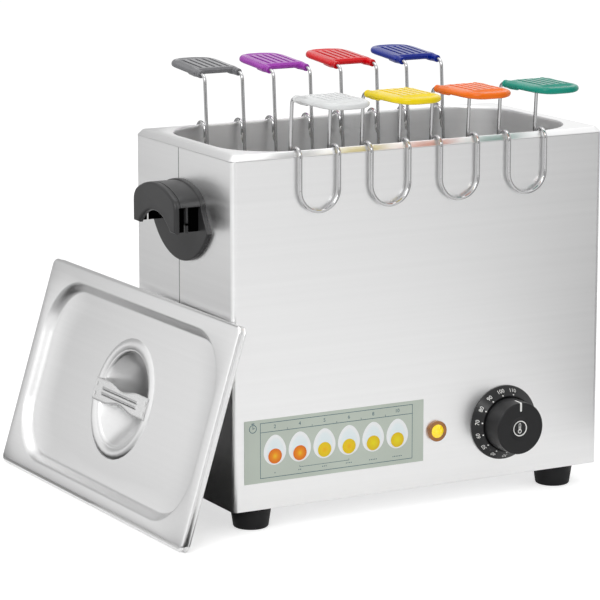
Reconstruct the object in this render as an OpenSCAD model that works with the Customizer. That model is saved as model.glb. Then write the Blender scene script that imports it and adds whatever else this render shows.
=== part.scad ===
// Countertop egg boiler: a steel casing with a pressed tank, eight lift-out egg holders
// that hook over the rim, a thermostat with its knob, and a lid leaning on the left side.
// Origin: middle of the footprint on the counter. X to the right, Y to the back, Z up.

/* [Casing] */
// Width of the casing, left to right
casing_w = 332; // [320:1:380]
// Depth of the casing, front to back
casing_d = 166; // [164:1:200]
// Height of the two shells, from the feet to the rim
casing_h = 271; // [240:1:320]
// Thickness of the casing sheet
sheet_t = 1; // [0.8:0.1:1.5]
// Bend radius of the casing's upright corners
corner_r = 4; // [2:0.5:8]
// How far behind the middle the side seams lie
seam_back = 7.5; // [-10:0.5:20]
// Width of the open seam line
seam_gap = 0.4; // [0.2:0.1:1]
// Width of the bottom returns of the shells
return_w = 42; // [36:1:60]
// Thickness of the base plate
base_t = 1.2; // [1:0.1:2]
// Height of the base plate's turned-up edge
base_lip_h = 12; // [8:1:20]

/* [Feet] */
// Height of a rubber foot
foot_h = 18.9; // [14:0.1:30]
// Top diameter of a foot
foot_top_d = 33; // [28:1:38]
// Bottom diameter of a foot
foot_bottom_d = 28; // [24:1:36]
// Distance of the foot centres from the casing's sides
foot_in_x = 27; // [24:1:50]
// Distance of the foot centres from the front and the back
foot_in_y = 23.5; // [22:0.5:32]
// Diameter of the foot screws
foot_screw_d = 5; // [4:0.5:6]

/* [Tank] */
// How far the rim stands over the casing
rim_over = 0.8; // [0.2:0.1:1.2]
// Width of the rim's sloping edge
bevel_w = 3.9; // [2:0.1:4]
// Height of the rim's sloping edge
bevel_h = 4.8; // [3:0.1:6]
// Distance of the tank opening from the casing's left and right sides
rim_side_w = 13; // [12:0.5:26]
// Distance of the tank opening from the casing's front and back
rim_front_w = 4; // [3.5:0.5:8]
// Corner radius of the tank
tank_r = 48; // [20:1:60]
// Depth of the tank below the rim
tank_depth = 172; // [150:1:180]
// Thickness of the tank sheet
tank_t = 1; // [0.8:0.1:1.5]

/* [Egg holders] */
// Distance of the first and the last holder of a row from the tank's ends
holder_end = 60; // [54:1:69]
// Diameter of the holder wire
wire_d = 2.8; // [2.4:0.1:3.2]
// Distance between the two legs of a holder
leg_gap = 33.6; // [30:0.1:36]
// Height of the grips' wires above the rim
grip_lift = 39.5; // [34:0.5:60]
// Outward lean of the legs in degrees
leg_lean = 4; // [0:0.5:5]
// Distance of the legs from the tank wall at the rim
leg_from_wall = 8.6; // [7.6:0.1:10]
// Clear space between the outer loop and the rim
loop_off = 1.4; // [0.5:0.1:3]
// Depth of the outer loop below the rim
loop_drop = 48.2; // [36:0.1:70]
// Diameter of the thinner wire of the egg ring
ring_wire_d = 2.4; // [2:0.1:2.6]
// Radius of the egg ring
egg_ring_r = 23; // [20:0.5:25]
// Height of the egg ring above the cradle
egg_ring_up = 30; // [20:1:40]
// Height of the cradle above the tank floor
cradle_up = 9; // [6:0.5:16]
// Radius of the small wire bends
bend_r = 5; // [4:0.5:7]

/* [Grips] */
// Length of a grip
grip_l = 60; // [50:1:70]
// Width of a grip
grip_w = 42; // [41:0.5:46]
// Thickness of a grip
grip_t = 7.6; // [6.5:0.1:9]
// Rise of the front grips in degrees
front_rise = 0; // [0:0.5:6]
// Rise of the back grips in degrees
back_rise = 4; // [0:0.5:6]
// Corner radius at the outer end of a grip
grip_corner_r = 15; // [10:1:18]
// Depth of the hollow on top of a grip
grip_hollow = 1.6; // [1:0.1:2]
// Number of ribs in that hollow
grip_ribs = 6; // [4:1:7]
// How deep the wire goes into a grip
wire_in_grip = 24; // [16:1:34]

/* [Handles] */
// Middle of the handles in front of (minus) or behind the casing's middle
handle_y = -1; // [-8:0.5:8]
// Height of the lower edge of the hood above the counter
hood_z = 230.5; // [212:0.5:240]
// Height of the hood
hood_h = 35; // [32:0.5:40]
// Half of the hood's width
hood_half = 37; // [34:0.5:44]
// Radius of the hood's curved top
hood_top_r = 66; // [60:1:90]
// How far the hood stands out
hood_out = 26; // [24:0.5:40]
// Thickness of the hood's outer wall
hood_wall = 4; // [3:0.5:5]
// Thickness of the hood's top
hood_roof = 3.5; // [3:0.5:5]
// Half of the width of the finger arch
arch_half = 27; // [24:1:30]
// Height of the finger arch
arch_h = 13; // [11:0.5:15]
// Thickness of the mounting plate
plate_t = 4; // [4:0.5:6]
// Half of the plate's width
plate_half = 47.5; // [46:0.5:52]
// Height of the round lower part of the plate
plate_drop = 27.5; // [24:0.5:34]
// Distance between the two screws of a handle
handle_screw_gap = 58; // [56:1:60]
// Diameter of the handle screws
handle_screw_d = 5; // [4:0.5:6]

/* [Controls] */
// Distance of the dial's middle from the casing's right side
dial_right = 90; // [66:1:106]
// Height of the dial above the counter
dial_z = 63; // [56:1:70]
// Outer diameter of the dial ring
dial_d = 60; // [56:1:70]
// How far the dial ring rises towards the knob
dial_rise = 7.2; // [5:0.1:9]
// Diameter of the knob at its foot
knob_d = 43; // [40:0.5:46]
// Diameter of the knob at its face
knob_face_d = 41.8; // [38:0.1:46]
// How far the knob's face stands off the panel
knob_out = 26.3; // [22:0.1:32]
// Diameter of the thermostat shaft
shaft_d = 6; // [5:0.5:7]
// Distance of the pilot lamp from the dial's middle
lamp_gap = 62; // [48:1:70]
// Outer diameter of the pilot lamp
lamp_d = 16.5; // [14:0.5:20]
// Distance of the egg chart label from the casing's left side
label_left = 9.3; // [5:0.1:30]
// Distance between the label and the pilot lamp
label_gap = 3.85; // [2:0.05:20]
// Height of the egg chart label
label_h = 49.7; // [40:0.1:55]
// Height of the label's middle above the counter
label_z = 65; // [55:1:80]
// Thickness of the label
label_t = 0.4; // [0.2:0.1:0.8]
// Distance of the cable gland from the casing's right side
gland_right = 56; // [36:1:76]
// Height of the cable gland above the counter
gland_z = 50; // [40:1:70]
// Diameter of the cable hole in the gland
gland_bore_d = 8; // [6:0.5:9]

/* [Heating] */
// Diameter of the tubular heating element
element_d = 8; // [6.5:0.5:9]
// Distance between the element's two runs
element_gap = 80; // [60:1:90]
// Straight length of the element's runs
element_l = 180; // [150:1:190]
// Diameter of the thermostat bulb
bulb_d = 6; // [4:0.5:7]
// Length of the thermostat bulb
bulb_l = 80; // [60:1:90]

/* [Lid] */
// Length of the lid
lid_l = 325; // [300:1:354]
// Width of the lid
lid_w = 176; // [160:1:190]
// Thickness of the lid sheet
lid_t = 1; // [0.8:0.1:1.2]
// Depth of the lid's turned-back edge
lid_skirt = 7; // [5:0.5:10]
// Width of the flat border around the pressed pan
lid_border = 13; // [10:0.5:18]
// Depth of the pressed pan
lid_pan_depth = 8; // [6:0.5:12]
// Corner radius of the pressed pan
lid_pan_r = 48; // [24:1:56]
// Outer diameter of the ring around the dish
dish_ring_d = 98; // [92:1:110]
// Inner diameter of that ring
dish_d = 79; // [72:1:84]
// Depth of the dish
dish_depth = 16; // [12:0.5:20]
// Length of the strip across the dish
strip_l = 90; // [88:1:96]
// Width of the strip at its ends
strip_w = 18; // [14:0.5:20]
// Width of the strip in the middle
strip_waist = 11; // [9:0.5:13]
// Lean of the lid from upright in degrees
lid_lean = 17.2; // [10:0.1:24]
// Turn of the lid from the casing's side in degrees
lid_turn = 1.2; // [0:0.1:3]
// Middle of the lid behind the casing's middle
lid_back = 53.7; // [40:0.1:80]

/* [Fits] */
// Gap between parts that rest on each other but can move apart
rest_gap = 0.3; // [0.2:0.05:0.5]
// Gap around a pin or a shaft that turns or slides in
run_gap = 0.05; // [0.03:0.01:0.1]
// Gap around a screw in its hole
screw_gap = 0.2; // [0.1:0.05:0.4]
// Gap around the base plate inside the shells
base_gap = 0.2; // [0.1:0.05:0.4]

/* [Hidden] */
$fn = 48;

far = 1000;                              // longer than anything on the object
cut = 1;                                 // how far a cutter runs past a face
joint_ball = 1.02;                       // ball at a wire's joints over the wire's diameter

front_y = -casing_d / 2;
back_y = casing_d / 2;
side_x = casing_w / 2;
shell_top = foot_h + casing_h;
rim_top = shell_top + bevel_h;
rim_w = casing_w + 2 * rim_over;
rim_d = casing_d + 2 * rim_over;
rim_edge = 2;                            // solid edge of the rim that sits on the shells
tank_w = casing_w - 2 * rim_side_w;      // the tank's opening
tank_d = casing_d - 2 * rim_front_w;
tank_floor = rim_top - tank_depth;
tank_under = tank_floor - tank_t;
base_z = foot_h + sheet_t;
base_top = base_z + base_t;
foot_x = side_x - foot_in_x;
foot_y = back_y - foot_in_y;
seam_y = seam_back;

// screws and nuts
head_d_factor = 1.8;                     // head diameter over screw diameter
head_h_factor = 0.6;                     // head height over screw diameter
nut_h_factor = 0.8;                      // nut height over screw diameter
nut_d_factor = 2;                        // nut corner diameter over screw diameter
foot_well_h = foot_h / 2;                // depth of the well under a foot
foot_nut_h = foot_screw_d * nut_h_factor;
foot_edge_r = 2;                         // rounding of a foot's lower edge

// handles
arch_r = (arch_half * arch_half + arch_h * arch_h) / (2 * arch_h);
plate_r = (plate_half * plate_half + plate_drop * plate_drop) / (2 * plate_drop);
plate_edge = 1;                          // the plate shows this much around the hood
hood_shoulder_r = 12;                    // rounding of the hood's upper corners
hood_side_h = 20;                        // open height of the hood's two ends
rib_at = 14.5;                           // distance of the inner rib from the casing
rib_t = 1.8;
boss_d = 11;
boss_h = 9;                              // handle screw bosses, out from the casing
handle_screw_in = 7;                     // screw length inside the handle
handle_screw_up = 8;                     // height of the screws above the hood's lower edge
handle_screw_z = hood_z + handle_screw_up;

// holders
holders_per_row = 4;
row_first_x = holder_end - tank_w / 2;
holder_pitch = -2 * row_first_x / (holders_per_row - 1);
wire_r = wire_d / 2;
leg_x = leg_gap / 2;
leg_rim_v = tank_d / 2 - leg_from_wall;  // legs from the centre plane, at rim height
grip_z = rim_top + grip_lift;
loop_v = casing_d / 2 + rim_over + loop_off + wire_r;
hook_in_v = leg_rim_v + wire_d + run_gap;
hook_r = (loop_v - hook_in_v) / 2;
hook_v = (loop_v + hook_in_v) / 2;
rim_flat_v = max(abs(hook_v - tank_d / 2), abs(hook_v - rim_d / 2 + bevel_w));
hook_free_r = hook_r - wire_r - rest_gap;
hook_z = rim_top - sqrt(hook_free_r * hook_free_r - rim_flat_v * rim_flat_v);
hook_leg_l = 5;                          // straight end of a hook beside its leg
loop_bottom_z = rim_top - loop_drop;
cradle_z = tank_floor + cradle_up;
egg_ring_z = cradle_z + egg_ring_up;
ring_dv = sqrt(egg_ring_r * egg_ring_r - leg_x * leg_x);
ring_v = leg_v(egg_ring_z) - ring_dv;    // middle of the egg ring
cradle_far_v = ring_v - ring_dv;         // inner uprights of the cradle
sleeve_d = grip_t;
sleeve_l = 9;                            // free length of the two sleeves of a grip
grip_start = bend_r + 1;                 // distance of a grip from the leg's own line
grip_root = 3;                           // the sleeves reach this far under the grip's plate
grip_side = 5;                           // rim left beside the hollow of a grip
grip_lip = 15;                           // smooth outer end of a grip, past its hollow
grip_inset = 2.1;                        // the grip's edges round in by this much
grip_rib_w = 2;
grip_rib_low = 0.3;                      // the ribs lie this much below the grip's top

// controls
dial_x = side_x - dial_right;
lamp_x = dial_x - lamp_gap;
label_start = label_left - side_x;       // the label's left edge
label_w = lamp_x - lamp_d / 2 - label_gap - label_start;
knob_sink = 3;                           // the knob stands this deep in the dial
knob_foot = dial_rise - knob_sink;       // height of the knob's lower edge off the panel
knob_side_gap = 0.6;                     // open ring between the knob and the dial
dial_in_r = knob_d / 2 + knob_side_gap;
dial_floor_t = 1.5;
dial_edge_t = 1.2;
dial_lip = 0.9;
knob_edge_r = 1.2;
dimple_d = 20;
dimple_h = 1.4;
dimple_r = (dimple_d * dimple_d / 4 + dimple_h * dimple_h) / (2 * dimple_h);
knob_wall = 2.4;
knob_hub_wall = 3.4;
knob_hub_d = shaft_d + 2 * knob_hub_wall;
shaft_in_knob = 12;
shaft_in_body = 8;
shaft_flat = 1;                          // depth of the flat on the shaft
shaft_hole_gap = 2;                      // free ring around the shaft in the panel and the dial
bush_wall = 1.5;                         // the thermostat's bush around the shaft
thermo_screw_gap = 28;
thermo_screw_d = 4;
thermo_screw_l = 6.5;                    // length of those screws inside the thermostat
thermo_head_h = 1.6;
thermo_head_d = 6.8;
thermo_w = 38;
thermo_h = 34;
thermo_d = 26;
spade_w = 6;                             // flat terminals of the thermostat and the cut-out
spade_t = 0.8;
spade_l = 8;
capillary_d = 1.6;
lamp_hole_d = 12;
lamp_flange_t = 2.2;
lamp_barrel_l = 14;
lamp_wall = 1.5;
lamp_nut_t = 3;
lens_d = lamp_hole_d - 1;
lens_dome_h = 2;

// supply
gland_x = side_x - gland_right;
gland_thread_d = 16;
gland_thread_l = 10;
gland_hex_d = 25;
gland_hex_h = 6;
gland_cap_d = 21;
gland_cap_h = 8;
gland_tip_d = 13;
gland_tip_h = 4;
gland_nut_t = 5;
gland_nut_d = 24;
block_l = 38;                            // terminal block
block_w = 18;
block_h = 15;
block_from_gland = 50;
block_x = gland_x - block_from_gland;
block_y = 44;
block_poles = 3;
block_well_d = 5;
block_wire_d = 4;
block_screw_d = 3;
block_screw_gap = 10;
earth_from_block = 40;
earth_x = block_x - earth_from_block;
earth_y = block_y;
earth_d = 5;
earth_l = 18;
washer_t = 1;

// heating
element_z = tank_under - element_d * joint_ball / 2;
stud_x = 60;
stud_d = 5;
stud_tail = 8;                           // the studs' length past the clamp bars
clamp_t = 1.5;
clamp_w = 16;
tail_r = 14;                             // bends and straight ends of the element's tails
tail_l = 22;
pin_l = 8;
clip_w = 10;
clip_t = 0.8;
clip_foot_l = 9;
cutout_x = -16;
cutout_y = -16;
cutout_d = 16;
cutout_h = 9;
cutout_plate_l = 25.6;
cutout_plate_w = 8;
clamp_z = element_z - element_d / 2 - clamp_t;
bulb_y = 14;
bulb_z = tank_under - bulb_d / 2;

// lid
lid_in_l = lid_l - 2 * lid_border;
lid_in_w = lid_w - 2 * lid_border;
lid_slope = 5;                           // the pan's walls close in by this much
lid_floor_edge = 2;                      // edge of the pan's floor beside its walls
lid_corner_r = 6;
bead_up = 1.6;                           // height of the bead around the dish
bead_land = 0.4;                         // flat land on both sides of the bead
dish_land = 1.5;                         // flat land around the dish's ring
dish_ring_r = dish_ring_d / 2 + dish_land;
bead_half = (dish_ring_d - dish_d) / 4;
bead_at = (dish_ring_d + dish_d) / 4;
bead_r = (bead_half * bead_half + bead_up * bead_up) / (2 * bead_up);
strip_rib_l = 64;                        // the strip's two ribs
strip_rib_w = 1;
strip_rib_h = 0.8;
strip_rib_gap = 3.6;
dish_r = dish_d / 2;
dish_ball_r = (dish_r * dish_r + dish_depth * dish_depth) / (2 * dish_depth);
lid_low_z = lid_skirt * sin(lid_lean);
lid_corner_along = (lid_back - front_y) / cos(lid_turn);
lid_reach = (lid_w * sin(lid_lean) + lid_skirt * cos(lid_lean)) * cos(lid_turn)
  + lid_corner_along * sin(lid_turn);
lid_x = -side_x - rest_gap - lid_reach;
dish_ball_z = -lid_pan_depth + dish_ball_r - dish_depth;

// Distance of a holder's legs from the centre plane, at height z
function leg_v(z) = leg_rim_v + (z - rim_top) * tan(leg_lean);
function unit(a) = a / norm(a);
function left_of(a) = [-a[1], a[0]];
function turn_of(a, b) = atan2(a[0] * b[1] - a[1] * b[0], a[0] * b[0] + a[1] * b[1]);
// Length that a bend of radius r takes off both straights at corner i
function trim_of(p, i, r) = i == 0 || i == len(p) - 1 ? 0
  : r * tan(abs(turn_of(p[i] - p[i - 1], p[i + 1] - p[i])) / 2);

// ---------------------------------------------------------------- shared shapes

module rounded_rect(w, d, r) {
  square([w - 2 * r, d], center = true);
  square([w, d - 2 * r], center = true);
  for (x = [-1, 1], y = [-1, 1])
    translate([x * (w / 2 - r), y * (d / 2 - r)]) circle(r);
}

// A bend from the X axis round to the given angle. A ball a hair thicker than the wire
// closes the joint at each end.
module bend(r, angle, d) {
  rotate_extrude(angle = angle) translate([r, 0]) circle(d = d);
  for (a = [0, angle]) rotate([0, 0, a]) translate([r, 0, 0]) sphere(d = d * joint_ball);
}

// A straight rod between two points of the drawing plane
module flat_rod(a, b, d) {
  u = unit(b - a);
  translate([a[0], a[1], 0]) rotate([0, 0, atan2(u[1], u[0])])
    rotate([0, 90, 0]) cylinder(h = norm(b - a), d = d);
}

// A wire that follows the points of the drawing plane, with round bends
module flat_wire(p, r, d) {
  for (i = [0:len(p) - 2]) {
    u = unit(p[i + 1] - p[i]);
    flat_rod(p[i] + u * trim_of(p, i, r), p[i + 1] - u * trim_of(p, i + 1, r), d);
  }
  for (i = [1:len(p) - 2]) {
    u = unit(p[i] - p[i - 1]);
    turn = turn_of(p[i] - p[i - 1], p[i + 1] - p[i]);
    start = p[i] - u * trim_of(p, i, r);
    middle = start + sign(turn) * r * left_of(u);
    from = atan2(start[1] - middle[1], start[0] - middle[0]);
    translate([middle[0], middle[1], 0]) rotate([0, 0, min(from, from + turn)])
      bend(r, abs(turn), d);
  }
}

// Stands a drawing of (distance from the centre plane, height) up at one leg of a holder
module stand(x) {
  translate([x, 0, 0]) mirror([0, 1, 0]) rotate([90, 0, 90]) children();
}

// A pan-head screw along +Z, its head's seat at z = 0 and its shank above
module screw(d, l) {
  translate([0, 0, -d * head_h_factor]) cylinder(h = d * head_h_factor, d = d * head_d_factor);
  cylinder(h = l, d = d);
}

// A hexagon nut from z = 0 upwards
module nut(d) {
  difference() {
    cylinder(h = d * nut_h_factor, d = d * nut_d_factor, $fn = 6);
    translate([0, 0, -cut]) cylinder(h = d * nut_h_factor + 2 * cut, d = d + 2 * run_gap);
  }
}

module at_feet() {
  for (x = [-1, 1], y = [-1, 1])
    translate([x * foot_x, y * foot_y, 0]) children();
}

module at_handle_screws() {
  for (x = [-1, 1], y = [-1, 1])
    translate([x * side_x, handle_y + y * handle_screw_gap / 2, handle_screw_z])
      rotate([0, x * 90, 0]) children();
}

// Places a drawing made in front of the panel: Z points out of the panel, Y up
module on_panel(x, z) {
  translate([x, front_y, z]) rotate([90, 0, 0]) children();
}

// ---------------------------------------------------------------- casing

module shell_tube() {
  translate([0, 0, foot_h]) linear_extrude(casing_h) difference() {
    rounded_rect(casing_w, casing_d, corner_r);
    rounded_rect(casing_w - 2 * sheet_t, casing_d - 2 * sheet_t, corner_r - sheet_t);
  }
}

module shell_return(side) {
  translate([0, 0, foot_h]) linear_extrude(sheet_t) intersection() {
    rounded_rect(casing_w - sheet_t, casing_d - sheet_t, corner_r);
    translate([-casing_w / 2, side > 0 ? back_y - return_w : front_y])
      square([casing_w, return_w]);
  }
}

module screw_cuts() {
  at_feet() cylinder(h = shell_top / 2, d = foot_screw_d + 2 * screw_gap);
  at_handle_screws() translate([0, 0, -2 * sheet_t])
    cylinder(h = 3 * sheet_t, d = handle_screw_d + 2 * screw_gap);
}

module front_shell() {
  color("gainsboro") difference() {
    union() {
      intersection() {
        shell_tube();
        translate([-far / 2, seam_y - seam_gap / 2 - far, 0]) cube([far, far, far]);
      }
      shell_return(-1);
    }
    screw_cuts();
    on_panel(dial_x, dial_z) translate([0, 0, -2 * sheet_t]) {
      cylinder(h = 3 * sheet_t, d = shaft_d + 2 * shaft_hole_gap);
      for (x = [-1, 1]) translate([x * thermo_screw_gap / 2, 0, 0])
        cylinder(h = 3 * sheet_t, d = thermo_screw_d + 2 * screw_gap);
    }
    on_panel(lamp_x, dial_z) translate([0, 0, -2 * sheet_t])
      cylinder(h = 3 * sheet_t, d = lamp_hole_d + 2 * screw_gap);
  }
}

module rear_shell() {
  color("silver") difference() {
    union() {
      intersection() {
        shell_tube();
        translate([-far / 2, seam_y + seam_gap / 2, 0]) cube([far, far, far]);
      }
      shell_return(1);
    }
    screw_cuts();
    translate([gland_x, back_y + sheet_t, gland_z]) rotate([90, 0, 0])
      cylinder(h = 3 * sheet_t, d = gland_thread_d + 2 * screw_gap);
  }
}

module base_plate() {
  w = casing_w - 2 * sheet_t - 2 * base_gap;
  d = casing_d - 2 * sheet_t - 2 * base_gap;
  r = corner_r - sheet_t - base_gap;
  color("silver") difference() {
    translate([0, 0, base_z]) union() {
      linear_extrude(base_t) rounded_rect(w, d, r);
      linear_extrude(base_lip_h) difference() {
        rounded_rect(w, d, r);
        square([w - 2 * base_t, d - 2 * base_t], center = true);
      }
    }
    screw_cuts();
    translate([earth_x, earth_y, 0]) cylinder(h = shell_top / 2, d = earth_d + 2 * screw_gap);
    at_block_screws() cylinder(h = shell_top / 2, d = block_screw_d + 2 * run_gap);
  }
}

module foot() {
  color("dimgray") difference() {
    rotate_extrude() polygon([
      [0, 0],
      for (a = [0:15:90])
        [foot_bottom_d / 2 - foot_edge_r * (1 - sin(a)), foot_edge_r * (1 - cos(a))],
      [foot_top_d / 2, foot_h], [0, foot_h]]);
    translate([0, 0, -cut])
      cylinder(h = foot_well_h + cut, d = foot_screw_d * head_d_factor + 4 * screw_gap);
    cylinder(h = foot_h + cut, d = foot_screw_d + 2 * screw_gap);
  }
}

module foot_screws() {
  color("silver") at_feet() {
    translate([0, 0, foot_well_h]) screw(foot_screw_d, base_top + foot_nut_h + cut - foot_well_h);
    translate([0, 0, base_top]) nut(foot_screw_d);
  }
}

// ---------------------------------------------------------------- tank and rim

// A block whose four sides slope in towards the top
module sloped_block(w, d, h, inset) {
  intersection() {
    rotate([90, 0, 0]) linear_extrude(d, center = true)
      polygon([[-w / 2, 0], [w / 2, 0], [w / 2 - inset, h], [-w / 2 + inset, h]]);
    rotate([90, 0, 90]) linear_extrude(w, center = true)
      polygon([[-d / 2, 0], [d / 2, 0], [d / 2 - inset, h], [-d / 2 + inset, h]]);
  }
}

module tank() {
  color("lightgray") difference() {
    union() {
      translate([0, 0, shell_top]) difference() {
        sloped_block(rim_w, rim_d, bevel_h, bevel_w);
        translate([0, 0, -tank_t])
          sloped_block(rim_w - 2 * rim_over - 2 * rim_edge,
            rim_d - 2 * rim_over - 2 * rim_edge, bevel_h, bevel_w);
      }
      translate([0, 0, tank_under]) linear_extrude(tank_depth + tank_t)
        rounded_rect(tank_w + 2 * tank_t, tank_d + 2 * tank_t, tank_r + tank_t);
    }
    translate([0, 0, tank_floor]) linear_extrude(tank_depth + cut)
      rounded_rect(tank_w, tank_d, tank_r);
  }
  color("lightgray") for (x = [-1, 1]) translate([x * stud_x, 0, clamp_z - stud_tail])
    cylinder(h = tank_under - clamp_z + stud_tail, d = stud_d);
}

// ---------------------------------------------------------------- side handles

// The hood seen from the side: its lower edge lies on the drawing's X axis
module hood_outline(grow) {
  intersection() {
    translate([0, hood_h - hood_top_r]) circle(hood_top_r + grow, $fn = 96);
    union() {
      translate([-hood_half - grow, 0]) square([2 * (hood_half + grow), hood_h - hood_shoulder_r]);
      translate([-hood_half + hood_shoulder_r - grow, 0])
        square([2 * (hood_half - hood_shoulder_r + grow), hood_h + grow]);
      for (x = [-1, 1]) translate([x * (hood_half - hood_shoulder_r), hood_h - hood_shoulder_r])
        circle(hood_shoulder_r + grow);
    }
  }
}

module arch() {
  translate([0, arch_h - arch_r]) circle(arch_r, $fn = 96);
}

// One handle, drawn flat: Z points away from the casing, Y up
module handle() {
  difference() {
    union() {
      linear_extrude(plate_t) {
        hood_outline(plate_edge);
        intersection() {
          translate([0, plate_r - plate_drop]) circle(plate_r, $fn = 96);
          translate([-plate_half, -plate_drop]) square([2 * plate_half, plate_drop + plate_edge]);
        }
      }
      linear_extrude(hood_out - cut) intersection() {
        difference() {
          hood_outline(0);
          hood_outline(-hood_roof);
        }
        translate([-far / 2, hood_side_h]) square(far);
      }
      translate([0, 0, rib_at]) linear_extrude(rib_t) difference() {
        hood_outline(-hood_roof / 2);
        arch();
      }
      translate([0, 0, hood_out - hood_wall]) linear_extrude(hood_wall - cut) difference() {
        hood_outline(0);
        arch();
      }
      translate([0, 0, hood_out - cut]) linear_extrude(cut) difference() {
        hood_outline(-cut);
        translate([0, cut]) arch();
      }
      for (x = [-1, 1]) translate([x * handle_screw_gap / 2, handle_screw_up, 0])
        cylinder(h = boss_h, d = boss_d);
    }
    for (x = [-1, 1]) translate([x * handle_screw_gap / 2, handle_screw_up, -cut])
      cylinder(h = handle_screw_in + run_gap + cut, d = handle_screw_d + 2 * run_gap);
  }
}

module left_handle() {
  color([0.15, 0.15, 0.16]) translate([-side_x, handle_y, hood_z])
    rotate([90, 0, -90]) handle();
}

module right_handle() {
  color([0.15, 0.15, 0.16]) translate([side_x, handle_y, hood_z])
    rotate([90, 0, 90]) handle();
}

module handle_screws() {
  color("silver") at_handle_screws() translate([0, 0, -sheet_t])
    screw(handle_screw_d, sheet_t + handle_screw_in);
}

// ---------------------------------------------------------------- front panel

module egg_chart_label() {
  color([0.62, 0.68, 0.62]) on_panel(label_start + label_w / 2, label_z)
    linear_extrude(label_t) square([label_w, label_h], center = true);
}

module pilot_lamp_bezel() {
  color([0.6, 0.38, 0.1]) on_panel(lamp_x, dial_z) difference() {
    union() {
      cylinder(h = lamp_flange_t, d = lamp_d);
      translate([0, 0, -lamp_barrel_l]) cylinder(h = lamp_barrel_l, d = lamp_hole_d);
    }
    cylinder(h = lamp_flange_t + cut, d = lens_d);
    translate([0, 0, -lamp_barrel_l + lamp_wall])
      cylinder(h = lamp_barrel_l, d = lamp_hole_d - 2 * lamp_wall);
  }
}

module pilot_lamp_lens() {
  dome_r = (pow(lens_d / 2 - run_gap, 2) + lens_dome_h * lens_dome_h) / (2 * lens_dome_h);
  color([1, 0.7, 0.1]) on_panel(lamp_x, dial_z) {
    cylinder(h = lamp_flange_t, d = lens_d - 2 * run_gap);
    translate([0, 0, -lamp_flange_t])
      cylinder(h = lamp_flange_t, d = lamp_hole_d - 2 * lamp_wall - 2 * run_gap);
    intersection() {
      translate([0, 0, lamp_flange_t + lens_dome_h - dome_r]) sphere(dome_r);
      translate([0, 0, lamp_flange_t - cut])
        cylinder(h = 2 * lens_dome_h, d = lens_d - 2 * run_gap);
    }
  }
}

module pilot_lamp_nut() {
  color([0.2, 0.2, 0.2]) on_panel(lamp_x, dial_z) translate([0, 0, -sheet_t - lamp_nut_t])
    difference() {
      cylinder(h = lamp_nut_t, d = lamp_d + 2, $fn = 6);
      translate([0, 0, -cut]) cylinder(h = lamp_nut_t + 2 * cut, d = lamp_hole_d + 2 * run_gap);
    }
}

module dial_ring() {
  color([0.12, 0.12, 0.13]) on_panel(dial_x, dial_z) difference() {
    rotate_extrude($fn = 96) polygon([
      [shaft_d / 2 + shaft_hole_gap, 0], [dial_d / 2, 0], [dial_d / 2, dial_edge_t],
      [dial_in_r + dial_lip, dial_rise], [dial_in_r, dial_rise],
      [dial_in_r, dial_floor_t], [shaft_d / 2 + shaft_hole_gap, dial_floor_t]]);
    for (x = [-1, 1]) translate([x * thermo_screw_gap / 2, 0, -cut])
      cylinder(h = dial_rise, d = thermo_screw_d + 2 * screw_gap);
  }
}

// The shaft's outline: round with one flat
module shaft_outline(gap) {
  difference() {
    circle(d = shaft_d + 2 * gap);
    translate([-shaft_d, shaft_d / 2 - shaft_flat + gap]) square(2 * shaft_d);
  }
}

module thermostat_shaft() {
  back_end = -sheet_t - shaft_in_body;
  color("silver") on_panel(dial_x, dial_z) {
    translate([0, 0, knob_foot]) linear_extrude(shaft_in_knob) shaft_outline(0);
    translate([0, 0, back_end]) cylinder(h = knob_foot - back_end, d = shaft_d);
  }
}

module thermostat_knob() {
  color([0.1, 0.1, 0.11]) on_panel(dial_x, dial_z) difference() {
    rotate_extrude($fn = 96) polygon([
      [0, knob_foot], [knob_d / 2, knob_foot],
      for (a = [0:15:90]) [knob_face_d / 2 - knob_edge_r * (1 - cos(a)),
        knob_out - knob_edge_r * (1 - sin(a))],
      [0, knob_out]]);
    translate([0, 0, knob_foot - cut]) difference() {
      cylinder(h = shaft_in_knob + cut, d = knob_face_d - 2 * knob_wall);
      cylinder(h = shaft_in_knob + 2 * cut, d = knob_hub_d);
    }
    translate([0, 0, knob_foot - cut]) linear_extrude(shaft_in_knob + cut + run_gap)
      shaft_outline(run_gap);
    translate([0, 0, knob_out - dimple_h + dimple_r]) sphere(dimple_r, $fn = 128);
  }
}

module thermostat_body() {
  color([0.75, 0.72, 0.65]) on_panel(dial_x, dial_z) translate([0, 0, -sheet_t]) difference() {
    union() {
      translate([-thermo_w / 2, -thermo_h / 2, -thermo_d]) cube([thermo_w, thermo_h, thermo_d]);
      cylinder(h = sheet_t, d = shaft_d + 2 * bush_wall);
      for (x = [-1, 0, 1])
        translate([x * thermo_w / 4 - spade_w / 2, -thermo_h / 4, -thermo_d - spade_l])
          cube([spade_w, spade_t, spade_l + cut]);
    }
    translate([0, 0, -shaft_in_body - rest_gap])
      cylinder(h = shaft_in_body + 2 * cut, d = shaft_d + 2 * run_gap);
    for (x = [-1, 1]) translate([x * thermo_screw_gap / 2, 0, -thermo_screw_l - rest_gap])
      cylinder(h = thermo_screw_l + rest_gap + cut, d = thermo_screw_d + 2 * run_gap);
  }
}

module thermostat_screws() {
  color("silver") on_panel(dial_x, dial_z) for (x = [-1, 1])
    translate([x * thermo_screw_gap / 2, 0, 0]) {
      translate([0, 0, -sheet_t - thermo_screw_l])
        cylinder(h = sheet_t + thermo_screw_l + dial_floor_t, d = thermo_screw_d);
      translate([0, 0, dial_floor_t]) cylinder(h = thermo_head_h, d = thermo_head_d);
    }
}

// ---------------------------------------------------------------- heating

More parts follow.
